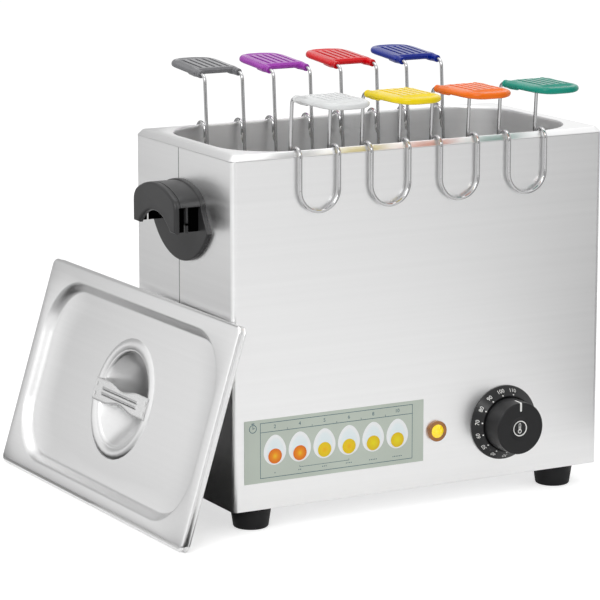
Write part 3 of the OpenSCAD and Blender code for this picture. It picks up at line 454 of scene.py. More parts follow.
def seam_lines():
    """The dark sealant that shows in the two side seams."""
    sealant = moulded("seam_sealant", (0.035, 0.035, 0.035), 0.6, grain=1200.0)
    half_w, proud, back = 0.38, 0.06, 0.5
    rows = 24
    for side, name in ((-1, "left"), (1, "right")):
        rings = []
        for k in range(rows + 1):
            z = SHELL_LOW + 0.5 + (SHELL_TOP - SHELL_LOW - 0.8) * k / rows
            waver = 0.03 * math.sin(k * 1.7)
            outline = [(-half_w, -back), (-half_w, proud * 0.5), (-half_w * 0.5, proud),
                       (half_w * 0.5 + waver, proud), (half_w + waver, proud * 0.5), (half_w, -back)]
            rings.append([(side * (SIDE_X + out), SEAM_Y + y, z) for y, out in outline])
        piece(f"{name}_seam_line", loft(rings), sealant, "root")


def tank_piece():
    """The pressed tank: a sloping rim rolled over into straight walls and a filleted floor."""
    rim_w, rim_d = CASING_W + 2 * RIM_OVER, CASING_D + 2 * RIM_OVER
    roll_out, roll_down, floor_r = 0.75, 2.4, 12.0
    floor_z, stud_end = RIM_TOP - TANK_DEPTH, 104.12
    slope_up = RIM_TOP - SHELL_TOP
    rings = []

    def inner(grow, z):
        rings.append(rounded_ring(TANK_W + 2 * grow, TANK_D + 2 * grow, TANK_R + grow, z))

    for sine, cosine in quarter(6):
        inner(-floor_r * (1 - sine), floor_z + floor_r * (1 - cosine))
    for z in (180, 230, 265, 284):
        inner(0, z)
    for sine, cosine in quarter(8):
        inner(roll_out * (1 - cosine), RIM_TOP - roll_down * (1 - sine))
    # the slope, its edge, the lip's undercut and its underside: inwards, above the shell, corner radius
    for shrink, up, r in ((3.9, slope_up - 0.02, 4.0), (3.6, slope_up - 0.2, 4.2), (3.3, slope_up - 0.5, 4.4),
                          (0.55, 1.35, 6.2), (0.25, 0.95, 6.4), (0.1, 0.7, 6.5), (0.05, 0.5, 6.5),
                          (0.12, 0.38, 6.5), (0.75, 0.32, 6.2), (0.85, 0.02, 6.0), (2.2, 0.0, 5.0),
                          (3.4, 2.4, 3.6)):
        rings.append(rounded_ring(rim_w - 2 * shrink, rim_d - 2 * shrink, r, SHELL_TOP + up))
    inner(TANK_T, SHELL_TOP + 1.6)
    inner(TANK_T, floor_z + floor_r)
    for sine, cosine in reversed(quarter(6)):
        inner(TANK_T - floor_r * (1 - sine), floor_z - TANK_T + floor_r * (1 - cosine))
    studs = [loft([[(x, y, z) for x, y in circle(2.5, 24, stud_x)] for z in (stud_end, floor_z - TANK_T)])
             for stud_x in (-60.0, 60.0)]
    steel = sheet("tank_steel", (0.86, 0.86, 0.86), 0.37)
    piece("tank_pressing", merged(loft(rings), *studs), steel, "root", replaces=("tank",))


# ---------------------------------------------------------------- side handles


def hood_outline(grow=0.0):
    """The hood without its arch, counter-clockwise from the lower right corner."""
    half, top_r, corner = HOOD_HALF + grow, HOOD_TOP_R + grow, HOOD_CORNER_R + grow
    centre = HOOD_H - HOOD_TOP_R
    cx = half - corner
    cz = centre + math.sqrt((top_r - corner) ** 2 - cx ** 2)
    lean = math.degrees(math.atan2(cz - centre, cx))
    right = arc_points(cx, cz, corner, 0, lean, 8)
    top = arc_points(0, centre, top_r, lean, 180 - lean, 28)[1:-1]
    left = arc_points(-cx, cz, corner, 180 - lean, 180, 8)
    return right + top + left


def arch_curve():
    """The finger arch from left to right."""
    r = (ARCH_HALF ** 2 + ARCH_H ** 2) / (2 * ARCH_H)
    cz = ARCH_H - r
    start = math.degrees(math.atan2(-cz, -ARCH_HALF))
    return arc_points(0, cz, r, start, 180 - start, 24)


def hood_face():
    """The hood's outline down to its lower edge, closed by the finger arch."""
    return [(HOOD_HALF, 0)] + hood_outline() + [(-HOOD_HALF, 0)] + arch_curve()


def band(outer_line, inner_line, low, high):
    """A wall that follows two open lines of equal length, from low to high."""
    return loft([[(ox, oz, low), (ox, oz, high), (ix, iz, high), (ix, iz, low)]
                 for (ox, oz), (ix, iz) in zip(outer_line, inner_line)])


def handle_shape():
    """The moulding lying flat: X along the casing's side, Y up, Z out from the casing."""
    wall = slab(hood_face(), HOOD_OUT - HOOD_WALL, HOOD_OUT, edge=2.4, edge_low=0.4, steps=6)
    outer_line, inner_line = hood_outline(), hood_outline(-HOOD_ROOF)
    held = [k for k, p in enumerate(outer_line) if p[1] >= HOOD_SIDE_H]
    outer_line, inner_line = [outer_line[k] for k in held], [inner_line[k] for k in held]
    groove_at, groove_w, groove_in = HOOD_OUT - HOOD_WALL - 0.6, 0.7, 0.5
    shallow = [tuple(o + (i - o) * groove_in / HOOD_ROOF for o, i in zip(p, q))
               for p, q in zip(outer_line, inner_line)]
    roof = band(outer_line, inner_line, PLATE_T - 0.5, groove_at - groove_w)
    groove = band(shallow, inner_line, groove_at - groove_w, groove_at)
    edge = band(outer_line, inner_line, groove_at, HOOD_OUT - HOOD_WALL + 0.1)
    plate_r = (PLATE_HALF ** 2 + PLATE_DROP ** 2) / (2 * PLATE_DROP)
    cz = plate_r - PLATE_DROP
    start = math.degrees(math.atan2(-cz, -PLATE_HALF)) % 360
    bowl = arc_points(0, cz, plate_r, start, 540 - start, 48)
    plate = slab(hood_outline(PLATE_EDGE) + bowl, 0.0, PLATE_T, edge=1.2, steps=5)
    above = [p for p in hood_outline(-0.5) if p[1] > RIB_LOW]
    rib_outline = [(HOOD_HALF - 0.5, RIB_LOW)] + above + [(-HOOD_HALF + 0.5, RIB_LOW)]
    end_top = RIB_LOW + 2
    ends = [slab([(x, 0.2), (x + 1.2, 0.2), (x + 1.2, end_top), (x, end_top)], RIB_AT, RIB_AT + RIB_T)
            for x in (-HOOD_HALF + 0.5, HOOD_HALF - 1.7)]
    rib = slab(rib_outline, RIB_AT, RIB_AT + RIB_T)
    return merged(wall, roof, groove, edge, plate, rib, *ends)


def handle_painted_shade():
    """Near-black panels deep inside the hood, painted shade that stands in for its dark cavity: two end
    panels and the back of the finger arch.
    """
    shapes = []
    for side in (-1, 1):
        x = side * (HOOD_HALF - 4.5)
        outline = [(x - 0.4, 0.4), (x + 0.4, 0.4), (x + 0.4, HOOD_SIDE_H + 2), (x - 0.4, HOOD_SIDE_H + 2)]
        shapes.append(slab(outline, PLATE_T, RIB_AT))
        shapes.append(slab(outline, RIB_AT + RIB_T, HOOD_OUT - HOOD_WALL))
    half, low = HOOD_HALF - 5, RIB_LOW + 0.1
    above = [(max(-half, min(half, x)), z) for x, z in hood_outline(-1.0) if z > low]
    shapes.append(slab([(half, low)] + above + [(-half, low)], RIB_AT + RIB_T + 0.05, RIB_AT + RIB_T + 0.25))
    return merged(*shapes)


def handles():
    plastic = moulded("handle_plastic", (0.03, 0.03, 0.031), 0.33, coat=0.08)
    # painted shade: near-black matt plastic on the hood's inner panels stands in for the shade inside the
    # cavity
    dark = moulded("handle_painted_shade", (0.001, 0.001, 0.001), 0.9, gloss=0.0)
    shape, painted_shade_shape = handle_shape(), handle_painted_shade()
    for side, name in ((-1, "left"), (1, "right")):
        def place(y, z, out, s=side):
            return s * (SIDE_X + out), HANDLE_Y + y, HOOD_Z + z

        piece(f"{name}_handle_moulding", moved(shape, place), plastic, "root",
              replaces=(f"{name}_handle",))
        # the painted shade panels inside each hood
        piece(f"{name}_handle_painted_shade", moved(painted_shade_shape, place), dark, "root", smooth=False)


# ---------------------------------------------------------------- text


def text_shape(text, height):
    """Flat outlines of plain figures, centred, that high."""
    curve = bpy.data.curves.new("figures", "FONT")
    curve.body = text
    curve.align_x = "CENTER"
    curve.align_y = "CENTER"
    curve.size = height / 0.7
    curve.resolution_u = 3
    holder = in_scene("figures", curve)
    graph = bpy.context.evaluated_depsgraph_get()
    mesh = bpy.data.meshes.new_from_object(holder.evaluated_get(graph))
    verts = [tuple(v.co) for v in mesh.vertices]
    faces = [tuple(p.vertices) for p in mesh.polygons]
    bpy.data.objects.remove(holder)
    bpy.data.curves.remove(curve)
    bpy.data.meshes.remove(mesh)
    return verts, faces


def disc(r, count, cx=0.0, cy=0.0, z=0.0):
    return [(x, y, z) for x, y in circle(r, count, cx, cy)], [tuple(range(count))]


def stroke(points, width, z=0.0, closed=False):
    """A flat line of that width through the points."""
    half = width / 2
    shapes = []
    for (ax, ay), (bx, by) in zip(points, points[1:] + (points[:1] if closed else [])):
        d = Vector((bx - ax, by - ay)).normalized()
        n = Vector((-d.y, d.x)) * half
        e = d * half
        shapes.append(([(ax - e.x + n.x, ay - e.y + n.y, z), (ax - e.x - n.x, ay - e.y - n.y, z),
                        (bx + e.x - n.x, by + e.y - n.y, z), (bx + e.x + n.x, by + e.y + n.y, z)],
                       [(0, 1, 2, 3)]))
    return merged(*shapes)


# ---------------------------------------------------------------- egg chart


def egg_outline(w, h, count=48):
    """An egg with its narrow end up."""
    points = []
    for i in range(count):
        a = 2 * math.pi * i / count
        narrow = 1.0 - 0.14 * math.sin(a) - 0.05 * math.sin(a) ** 2
        points.append((w / 2 * math.cos(a) * narrow, h / 2 * math.sin(a)))
    return points


def dome_disc(outline, rings, z, lift):
    """A filled outline whose value to_edge runs from 0 in the middle to 1 at the edge."""
    verts, faces, values = [(0.0, 0.0, z + lift)], [], [0.0]
    count = len(outline)
    for k in range(1, rings + 1):
        t = k / rings
        for x, y in outline:
            verts.append((x * t, y * t, z + lift * (1 - t * t)))
            values.append(t)
    for i in range(count):
        j = (i + 1) % count
        faces.append((0, 1 + i, 1 + j))
        for k in range(1, rings):
            a, b = 1 + (k - 1) * count, 1 + k * count
            faces.append((a + i, b + i, b + j, a + j))
    return verts, faces, values


def valued_piece(name, shapes, material):
    """One piece from shapes that carry the value to_edge."""
    shape = merged(*[(verts, faces) for verts, faces, _ in shapes])
    values = [value for _, _, own in shapes for value in own]
    mesh = new_mesh(name, *shape, material)
    mesh.attributes.new("to_edge", "FLOAT", "POINT").data.foreach_set("value", values)
    made = in_scene(name, mesh)
    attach(made, "root")


def egg_chart():
    film = Shader("label_film", (0.55, 0.61, 0.54), 0.4)
    film.round_edges(0.0002)
    film.vary_colour(film.noise(22.0, 2.0), 0.97, 1.03)
    film.vary_roughness(film.noise(90.0), 0.06)
    dress("egg_chart_label", film.material)

    place = on_panel(0.0, 0.0)
    ink = printed("chart_ink", (0.012, 0.1, 0.14))
    ink_at, egg_at = LABEL_T + 0.03, LABEL_T + 0.05
    line, thin, clock_line = 0.42, 0.336, 0.45
    left, right, low, high, divide = -143.0, -8.3, 43.7, 87.0, 79.75
    head = (divide + high) / 2
    columns = [-130.4 + i * 21.7 for i in range(6)]
    drawing = [stroke([(left, low), (right, low), (right, high), (left, high)], line, ink_at, closed=True),
               stroke([(left, divide), (right, divide)], line, ink_at)]
    for x in [(a + b) / 2 for a, b in zip(columns, columns[1:])]:
        drawing.append(stroke([(x, divide), (x, divide + 1.6)], thin, ink_at))
    for number, x in zip(("2", "4", "5", "6", "8", "10"), columns):
        drawing.append(moved(text_shape(number, 2.9), lambda u, v, w, x=x: (x + u, head + v, ink_at)))
    for count, x in enumerate(columns):
        for k in range(count + 1):
            drawing.append(disc(0.42, 12, x + (k - count / 2) * 1.5, 46.9, ink_at))
    drawing.append(stroke([(columns[1], 50.2), (columns[1], 49.0), (columns[3], 49.0), (columns[3], 50.2)],
                          thin, ink_at))
    clock_x, clock_z, clock_r = -149.4, 83.4, 3.3
    case = [arc_points(clock_x, clock_z, r, 0, 345, 23) for r in (clock_r, clock_r - 0.5)]
    drawing.append(ring_solid(*case, ink_at - 0.01, ink_at))
    button = clock_r + 0.8
    for ax, az, bx, bz, width in ((0, 0, 0, 2.2, clock_line), (0, 0, 1.4, 0.6, clock_line),
                                  (-0.9, button, 0.9, button, 0.7)):
        drawing.append(stroke([(clock_x + ax, clock_z + az), (clock_x + bx, clock_z + bz)], width, ink_at))
    piece("chart_drawing", moved(merged(*drawing), place), ink, "root", smooth=False)

    egg_mid, yolk_z, yolk_r = 65.1, 60.2, 5.9

    def placed(shape, x, z):
        return [place(x + u, z + v, w) for u, v, w in shape[0]], shape[1], shape[2]

    egg = dome_disc(egg_outline(19.4, 23.8), 8, egg_at, 0.25)
    white = rim_ramp("egg_white", [(0.0, (0.82, 0.93, 0.97)), (0.72, (0.87, 0.95, 0.97)),
                                   (0.95, (0.95, 0.97, 0.98))])
    valued_piece("chart_eggs", [placed(egg, x, egg_mid) for x in columns], white)
    yolk = dome_disc(circle(yolk_r, 40), 6, egg_at + 0.26, 0.3)
    for i, (name, stops) in enumerate((
            ("soft", [(0.1, (0.95, 0.55, 0.01)), (0.5, (0.92, 0.3, 0.0)), (1.0, (0.82, 0.17, 0.0))]),
            ("half", [(0.1, (0.93, 0.5, 0.0)), (0.55, (0.92, 0.62, 0.0)), (1.0, (0.85, 0.6, 0.0))]),
            ("firm", [(0.1, (0.88, 0.74, 0.0)), (0.6, (0.85, 0.66, 0.0)), (1.0, (0.82, 0.56, 0.0))]))):
        valued_piece(f"chart_yolks_{name}", [placed(yolk, x, yolk_z) for x in columns[2 * i:2 * i + 2]],
                     rim_ramp(f"yolk_{name}", stops))


# ---------------------------------------------------------------- dial, knob and lamp


def dial_and_knob():
    black = (0.012, 0.012, 0.013)
    dress("dial_ring", moulded("dial_plastic", black, 0.3, grain=1800.0, coat=0.1))
    dress("thermostat_knob", moulded("knob_plastic", black, 0.36, grain=2200.0))
    white = printed("dial_white", (0.88, 0.88, 0.86))
    place = on_panel(DIAL_X, DIAL_Z)
    slope = math.atan2(DIAL_RISE - DIAL_EDGE_T, DIAL_R - DIAL_IN_R - DIAL_LIP)

    def on_cone(angle, x, y, at_r):
        """A point x along the dial and y outwards from radius at_r, at that angle on the cone."""
        a = math.radians(angle) - x / at_r
        r = at_r + y * math.cos(slope)
        out = DIAL_EDGE_T + (DIAL_R - r) * math.tan(slope) + 0.06
        return place(r * math.cos(a), r * math.sin(a), out)

    marks = []
    for step in range(9):
        angle = 269 - 24 * step
        figures = text_shape(str(30 + 10 * step), 3.3)
        marks.append(moved(figures, lambda x, y, z, a=angle: on_cone(a, x * 0.95, y, 26.6)))
        marks.append(moved(disc(0.62, 16), lambda x, y, z, a=angle: on_cone(a, x, y, 23.6)))
    piece("dial_figures", merged(*marks), white, "root", smooth=False)

    # pointer: along the knob's side and onto its face
    half, edge, lift, tip_r = 0.85, 1.2, 0.07, KNOB_FACE_R - 6.2
    profile = [(KNOB_FACE_R + (KNOB_R - KNOB_FACE_R) * 0.35 + lift, KNOB_OUT - 8.5),
               (KNOB_FACE_R + lift, KNOB_OUT - edge - 0.6)]
    profile += [(KNOB_FACE_R - edge * (1 - cosine) + lift * cosine,
                 KNOB_OUT - edge * (1 - sine) + lift * sine) for sine, cosine in quarter(6)]
    profile += [(tip_r, KNOB_OUT + lift)]
    across = [half * u for u in (-1.0, -0.5, 0.0, 0.5, 1.0)]
    wide = len(across)
    verts = [place(u, math.sqrt(r * r - u * u) if r > KNOB_FACE_R - edge else r, out)
             for r, out in profile for u in across]
    faces = [(i * wide + k, i * wide + k + 1, (i + 1) * wide + k + 1, (i + 1) * wide + k)
             for i in range(len(profile) - 1) for k in range(wide - 1)]
    tip = [place(u, v, KNOB_OUT + lift) for u, v in arc_points(0, tip_r, half, 180, 360, 10)]
    pointer = merged((verts, faces), (tip, [tuple(range(len(tip)))]))
    piece("knob_pointer", pointer, white, "knob")

    # thermometer in a ring, in the face's dimple
    ball_r = (DIMPLE_R ** 2 + DIMPLE_H ** 2) / (2 * DIMPLE_H)

    def in_dimple(u, v, w):
        return place(u, v, KNOB_OUT - DIMPLE_H + (u * u + v * v) / (2 * ball_r) + 0.06 + w)

    def ring(cy, outer, inner):
        return ring_solid(*[arc_points(0, cy, r, 0, 352.5, 47) for r in (outer, inner)], 0.0, 0.02)

    stem = [stroke([(x, -1.2), (x, 3.2)], 0.45) for x in (-0.8, 0.8)]
    cap = stroke(arc_points(0, 3.2, 0.8, 0, 180, 8), 0.45)
    sign = merged(ring(0, 6.3, 5.45), ring(-2.3, 1.75, 1.15), *stem, cap, stroke([(0, -1.9), (0, 1.6)], 0.4))
    piece("knob_sign", moved(sign, in_dimple), white, "knob", smooth=False)


def pilot_lamp():
    amber = Shader("bezel_amber", (0.36, 0.13, 0.012), 0.18)
    amber.round_edges(0.0006)
    amber.vary_colour(amber.noise(220.0), 0.7, 1.3)
    amber.set("Coat Weight", 0.6)
    dress("pilot_lamp_bezel", amber.material)
    glow = Shader("lens_yellow", (0.9, 0.66, 0.01), 0.12)
    glow.vary_colour(glow.noise(500.0), 0.85, 1.1)
    for socket, value in (("Coat Weight", 0.8), ("Subsurface Weight", 0.25), ("Subsurface Scale", 1.0),
                          ("Subsurface Radius", (0.004, 0.003, 0.001)),
                          ("Emission Color", (1.0, 0.72, 0.01, 1.0)), ("Emission Strength", 0.4)):
        glow.set(socket, value)

    # the jewel: triangles between turned rings, every other point raised
    count, levels = 16, 5
    verts, faces = [(0, 0, LAMP_FLANGE_T + 1.9)], []
    for k in range(1, levels + 1):
        t = k / levels
        for i in range(count):
            a = math.tau * (i + 0.5 * (k % 2)) / count
            facet = 0.28 if (i + k) % 2 and k < levels else 0.0
            out = LAMP_FLANGE_T + 1.7 * (1 - t ** 2) + facet
            verts.append((LENS_R * t * math.cos(a), LENS_R * t * math.sin(a), out))
    rim, base = 1 + (levels - 1) * count, len(verts)
    verts += [(x, y, LAMP_FLANGE_T - 2.0) for x, y, _ in verts[rim:rim + count]]
    for i in range(count):
        j = (i + 1) % count
        faces.append((0, 1 + i, 1 + j))
        for k in range(1, levels):
            a, b = 1 + (k - 1) * count, 1 + k * count
            if k % 2:
                faces += [(a + i, b + i, b + j), (a + i, b + j, a + j)]
            else:
                faces += [(a + i, b + i, a + j), (a + j, b + i, b + j)]
        faces.append((rim + i, base + i, base + j, rim + j))
    faces.append(tuple(reversed(range(base, base + count))))
    shape = moved((verts, faces), on_panel(LAMP_X, DIAL_Z))
    piece("pilot_lamp_jewel", shape, glow.material, "root", smooth=False,
          replaces=("pilot_lamp_lens",))


# ---------------------------------------------------------------- lid


def lid_matrix():
    """The lid lies flat in its own coordinates: X along it, Y up it, Z out of its face."""
    lean, turn = math.radians(LID_LEAN), math.radians(LID_TURN)
    reach = (LID_W * math.sin(lean) + LID_SKIRT * math.cos(lean)) * math.cos(turn)
    reach += (LID_BACK - FRONT_Y) / math.cos(turn) * math.sin(turn)
    foot = (-SIDE_X - REST_GAP - reach, LID_BACK, LID_SKIRT * math.sin(lean))
    flat = Matrix.Rotation(math.radians(-90), 4, "Z") @ Matrix.Rotation(math.radians(90), 4, "X")
    tilt = Matrix.Rotation(turn, 4, "Z") @ Matrix.Rotation(lean, 4, "Y")
    place = Matrix.Translation([mm(c) for c in foot]) @ tilt @ flat
    return place @ Matrix.Translation((0, mm(LID_W / 2), 0))


def lid():
    steel = brushed("lid_steel", (0.86, 0.86, 0.86), 0.3, "x")
    arc, straight = 20, 14

    def rect(w, d, r, z):
        return rounded_ring(w, d, r, z, arc, straight)

    # the angles of the middle rings follow the pan's corners, so the mesh does not twist
    pan_w, pan_d = LID_L - 2 * LID_BORDER, LID_W - 2 * LID_BORDER
    guide = rect(pan_w - 2 * LID_SLOPE, pan_d - 2 * LID_SLOPE, LID_PAN_R - LID_SLOPE, 0)
    angles = [math.atan2(y, x) for x, y, _ in guide]

    def round_ring(r, z):
        return [(r * math.cos(a), r * math.sin(a), z) for a in angles]

    ball = (DISH_R ** 2 + DISH_DEPTH ** 2) / (2 * DISH_DEPTH)
    edge_r, fillet = 2.2, 3.0
    ball_r = DISH_R - 2.2

    def face_rings(down):
        """The face's rings from the dish's middle outwards, sunk by the sheet's thickness for its back."""
        rings = []
        floor = -LID_PAN_DEPTH - down
        for i in range(1, 15):
            r = ball_r * math.sin(math.pi / 2 * i / 14)
            base = floor - DISH_DEPTH + ball - math.sqrt(ball * ball - r * r)
            rings.append(round_ring(r, base))
        for i in range(1, 7):
            t = i / 6
            rings.append(round_ring(ball_r + 2.6 * t, base + (floor - base) * (1 - (1 - t) ** 2)))
        width = DISH_RING_R - DISH_R
        for i in range(0, 13):
            t = i / 12
            up = BEAD_UP * math.sin(math.pi * t) ** 0.8 if 0 < t < 1 else 0.0
            rings.append(round_ring(DISH_R + 0.6 + (width - 0.6) * t, floor + up))
        inside = round_ring(DISH_RING_R + 2, floor)
        outside = rect(pan_w - 22, pan_d - 22, LID_PAN_R - 11, floor)
        for t in (0.3, 0.7):
            rings.append([(rx + (gx - rx) * t, ry + (gy - ry) * t, floor)
                          for (rx, ry, _), (gx, gy, _) in zip(inside, outside)])
        for i in range(0, 15):
            t = i / 14
            shift = -LID_SLOPE - fillet * 0.5 + (LID_SLOPE + fillet) * t
            rings.append(rect(pan_w + 2 * shift, pan_d + 2 * shift, LID_PAN_R + shift,
                              floor + LID_PAN_DEPTH * smooth_step(t, 0.0, 1.0)))
        thinned = edge_r - 1.8 * down
        for sine, cosine in quarter(7):
            out = LID_L - 2 * edge_r + 2 * thinned * sine
            rings.append(rect(out, out - LID_L + LID_W, LID_CORNER_R - edge_r + thinned * sine,
                              -down - (edge_r - down) * (1 - cosine)))
        return rings

    # the skirt draws in behind the face and turns out again into a round lip
    low = -LID_SKIRT
    hem_profile = [(0.35, -edge_r - 0.3), (0.8, -edge_r - 1.0), (0.85, low + 2.2), (0.7, low + 1.5),
                   (0.25, low + 1.25), (0.04, low + 0.95), (0.0, low + 0.6), (0.12, low + 0.25),
                   (0.45, low + 0.02), (1.3, low), (1.75, low + 0.3), (1.8, low + 1.2)]
    hem = [rect(LID_L - 2 * away, LID_W - 2 * away, LID_CORNER_R - away, z) for away, z in hem_profile]
    pressing = loft(face_rings(0.0) + hem + face_rings(LID_T)[::-1])
    piece("lid_pressing", pressing, steel, "lid", matrix=lid_matrix(),
          replaces=("lid_rim", "lid_floor", "lid_dish"))

    # the strip: waisted, with a raised double rib and four weld spots
    rows, columns = 96, 32
    base = -LID_PAN_DEPTH + BEAD_UP + 0.02
    waist = (STRIP_W - STRIP_WAIST) / 2

    def half_width(x):
        return STRIP_W / 2 - waist * (0.5 + 0.5 * math.cos(min(1.0, abs(x) / 26.0) * math.pi))

    def strip_z(x, y):
        rib = math.exp(-((abs(y) - 2.1) / 0.75) ** 2) * smooth_step(31.5 - abs(x), 0.0, 2.0)
        lip = 0.5 * math.exp(-((half_width(x) - abs(y)) / 0.9) ** 2)
        spots = sum(math.exp(-((x - sx) ** 2 + (y - sy) ** 2) / 1.6)
                    for sx in (-42.5, 42.5) for sy in (-4.0, 4.0))
        return 0.75 * rib - 0.35 * spots - lip * 0.6

    rings = []
    for i in range(rows + 1):
        x = -STRIP_L / 2 + STRIP_L * i / rows
        ys = [half_width(x) * (-1 + 2 * k / columns) for k in range(columns + 1)]
        rings.append([(x, y, base + LID_T + strip_z(x, y)) for y in ys]
                     + [(x, y, base) for y in reversed(ys)])
    strip_steel = brushed("strip_steel", (0.82, 0.82, 0.82), 0.24, "x")
    piece("lid_strip", loft(rings), strip_steel, "lid", matrix=lid_matrix(),
          replaces=("lid_handle",))


# ---------------------------------------------------------------- egg holders

GRIP_COLOURS = {
    "white": (0.76, 0.77, 0.77), "yellow": (0.92, 0.7, 0.0), "orange": (0.92, 0.17, 0.0),
    "teal": (0.0, 0.28, 0.2), "grey": (0.2, 0.2, 0.21), "purple": (0.38, 0.05, 0.45),
    "red": (0.72, 0.003, 0.008), "blue": (0.002, 0.018, 0.28),
}
ROW_FRONT = ("white", "yellow", "orange", "teal")
ROW_BACK = ("grey", "purple", "red", "blue")


def grip_plastic(colour):
    made = Shader(f"grip_{colour}", GRIP_COLOURS[colour], 0.24)
    patches = made.noise(55.0)
    made.vary_colour(patches, 0.93, 1.06)
    made.vary_roughness(patches, 0.05)
    made.bump(made.noise(1500.0), 0.08, 0.00002)
    made.set("Specular IOR Level", 0.32)
    made.set("Subsurface Weight", 0.3 if colour == "white" else 0.05)
    made.set("Subsurface Radius", (0.004, 0.004, 0.004))
    made.set("Subsurface Scale", 1.0)
    return made.material


def grip_shape():
    """One grip lying flat: X across, Y outwards from the leg's line, Z up, wires at z = 0."""
    inner, outer, nose = GRIP_IN, GRIP_OUT, GRIP_NOSE
    stations, soft = 76, 0.15
    slot_columns = sorted({round(middle + side * away, 3) for middle in SLOT_MIDDLES for side in (-1, 1)
                           for away in (0.0, 0.5, SLOT_HALF - soft, SLOT_HALF + soft, 2.9)})

    def in_slot(x):
        """1 inside one of the five slots, 0 on the ribs between them."""
        away = min(abs(x - middle) for middle in SLOT_MIDDLES)
        return smooth_step(SLOT_HALF + soft - away, 0.0, 2 * soft)

    def half_width(y):
        t = max(0.0, (y - (outer - nose)) / nose)
        return GRIP_HALF * max(0.0, 1 - t ** 2.3) ** (1 / 2.3)

    def thickness(y, sign):
        t = max(0.0, (y - (outer - 9.0)) / 9.0)
        tip = math.sqrt(max(0.0, 1 - t * t))
        t = max(0.0, (inner + 2.0 - y) / 2.0)
        root = math.sqrt(max(0.0, 1 - 0.75 * t * t))
        low = 0.78 if sign < 0 else 1.0
        return GRIP_T * low * (0.25 + 0.75 * tip) * root

    def top(x, y):
        w = max(half_width(y), 0.01)
        edge = max(0.0, 1 - abs(x / w) ** 5) ** (1 / 2.6)
        z = thickness(y, 1) * edge
        slot_y = smooth_step(y, SLOT_IN, SLOT_IN + 1.2) * (1 - smooth_step(y, SLOT_OUT - 1.2, SLOT_OUT))
        scoop_y = smooth_step(y, SLOT_OUT + 0.5, SLOT_OUT + 4)
        scoop_y *= 1 - smooth_step(y, outer - 5.5, outer - 1.5)
        scoop_x = 1 - smooth_step(abs(x) / w, 0.55, 0.9)
        return z - SLOT_DEEP * slot_y * in_slot(x) - 1.5 * scoop_y * scoop_x

    def bottom(x, y):
        w = max(half_width(y), 0.01)
        edge = max(0.0, 1 - abs(x / w) ** 4) ** (1 / 2.4)
        hollow = 1.6 * (1 - smooth_step(abs(x), 10.5, 14.0)) * (1 - smooth_step(y, outer - 16, outer - 10))
        return -(thickness(y, -1) - hollow) * edge

    rings = []
    for j in range(stations + 1):
        t = j / stations
        y = inner + (outer - inner) * (1 - (1 - t) ** 1.6)
        y = min(y, outer - 0.02)
        w = half_width(y)
        squeeze = min(1.0, 0.8 * w / slot_columns[-1])
        inside = [x * squeeze for x in slot_columns]
        sides = [inside[-1] + (w - inside[-1]) * (1 - (1 - i / 12) ** 1.8) for i in range(1, 13)]
        xs = [-x for x in reversed(sides)] + inside + sides
        rings.append([(x, y, top(x, y)) for x in xs] + [(x, y, bottom(x, y)) for x in reversed(xs[1:-1])])
    sleeve_profile = [(6.0, 2.0), (6.0, 2.7), (6.3, 3.0), (7.2, 3.05), (8.8, 3.05), (9.1, 2.85), (9.5, 2.85),
                      (11.0, 3.1), (16.0, 3.5), (24.0, 3.3), (27.0, 2.0), (28.0, 0.4)]
    sleeves = [loft([[(side * LEG_X + x, y, z) for x, z in circle(r, 32)] for y, r in sleeve_profile])
               for side in (-1, 1)]
    return merged(loft(rings), *sleeves)


def weld_shape(x, seed):
    """A rough weld bead between a leg and its hook, at the inner side of both."""
    rings = []
    length, count, steps = 9.0, 14, 12
    for k in range(steps + 1):
        t = k / steps
        r = 1.25 * math.sqrt(max(0.02, 1 - (2 * t - 1) ** 2))
        z = HOOK_Z - 12.0 + length * t
        ring = []
        for i in range(count):
            a = math.tau * i / count
            rough = 1 + 0.35 * noise.noise(Vector((math.cos(a) * 1.6, math.sin(a) * 1.6, t * 6 + seed)))
            ring.append((x + r * rough * math.cos(a), -(LEG_RIM_V + 1.5) + r * rough * math.sin(a), z))
        rings.append(ring)
    return loft(rings)


def holders():
    wire = wire_steel("holder_wire_steel")
    weld = Shader("weld_metal", (0.55, 0.54, 0.52), 0.32, metallic=1.0)
    weld.vary_colour(weld.noise(500.0), 0.5, 1.2)
    weld.bump(weld.noise(1200.0), 0.6, 0.0002)
    shape = grip_shape()
    leg_v = LEG_RIM_V + (GRIP_Z - RIM_TOP) * math.tan(math.radians(LEG_LEAN))
    for number in range(1, 9):
        body = f"holder_{number}"
        back = number > 4
        colour = (ROW_BACK if back else ROW_FRONT)[(number - 1) % 4]
        middle = (-1.5 + (number - 1) % 4) * HOLDER_PITCH
        side = 1 if back else -1
        rise = math.radians(4.0 if back else 0.0)

        def place(x, y, z, s=side, m=middle, r=rise):
            out = y * math.cos(r) - z * math.sin(r)
            up = y * math.sin(r) + z * math.cos(r)
            return m + x, s * (leg_v + out), GRIP_Z + up

        piece(f"{body}_grip_moulding", moved(shape, place), grip_plastic(colour), body,
              replaces=(f"{body}_grip",))
        dress(f"{body}_wire", wire)
        dress(f"{body}_hook", wire)
        welds = merged(weld_shape(-LEG_X, number * 3.1), weld_shape(LEG_X, number * 5.7))
        placed = moved(welds, lambda x, y, z, s=side, m=middle: (m + x, -s * y, z))
        piece(f"{body}_welds", placed, weld.material, body)


# ---------------------------------------------------------------- inside


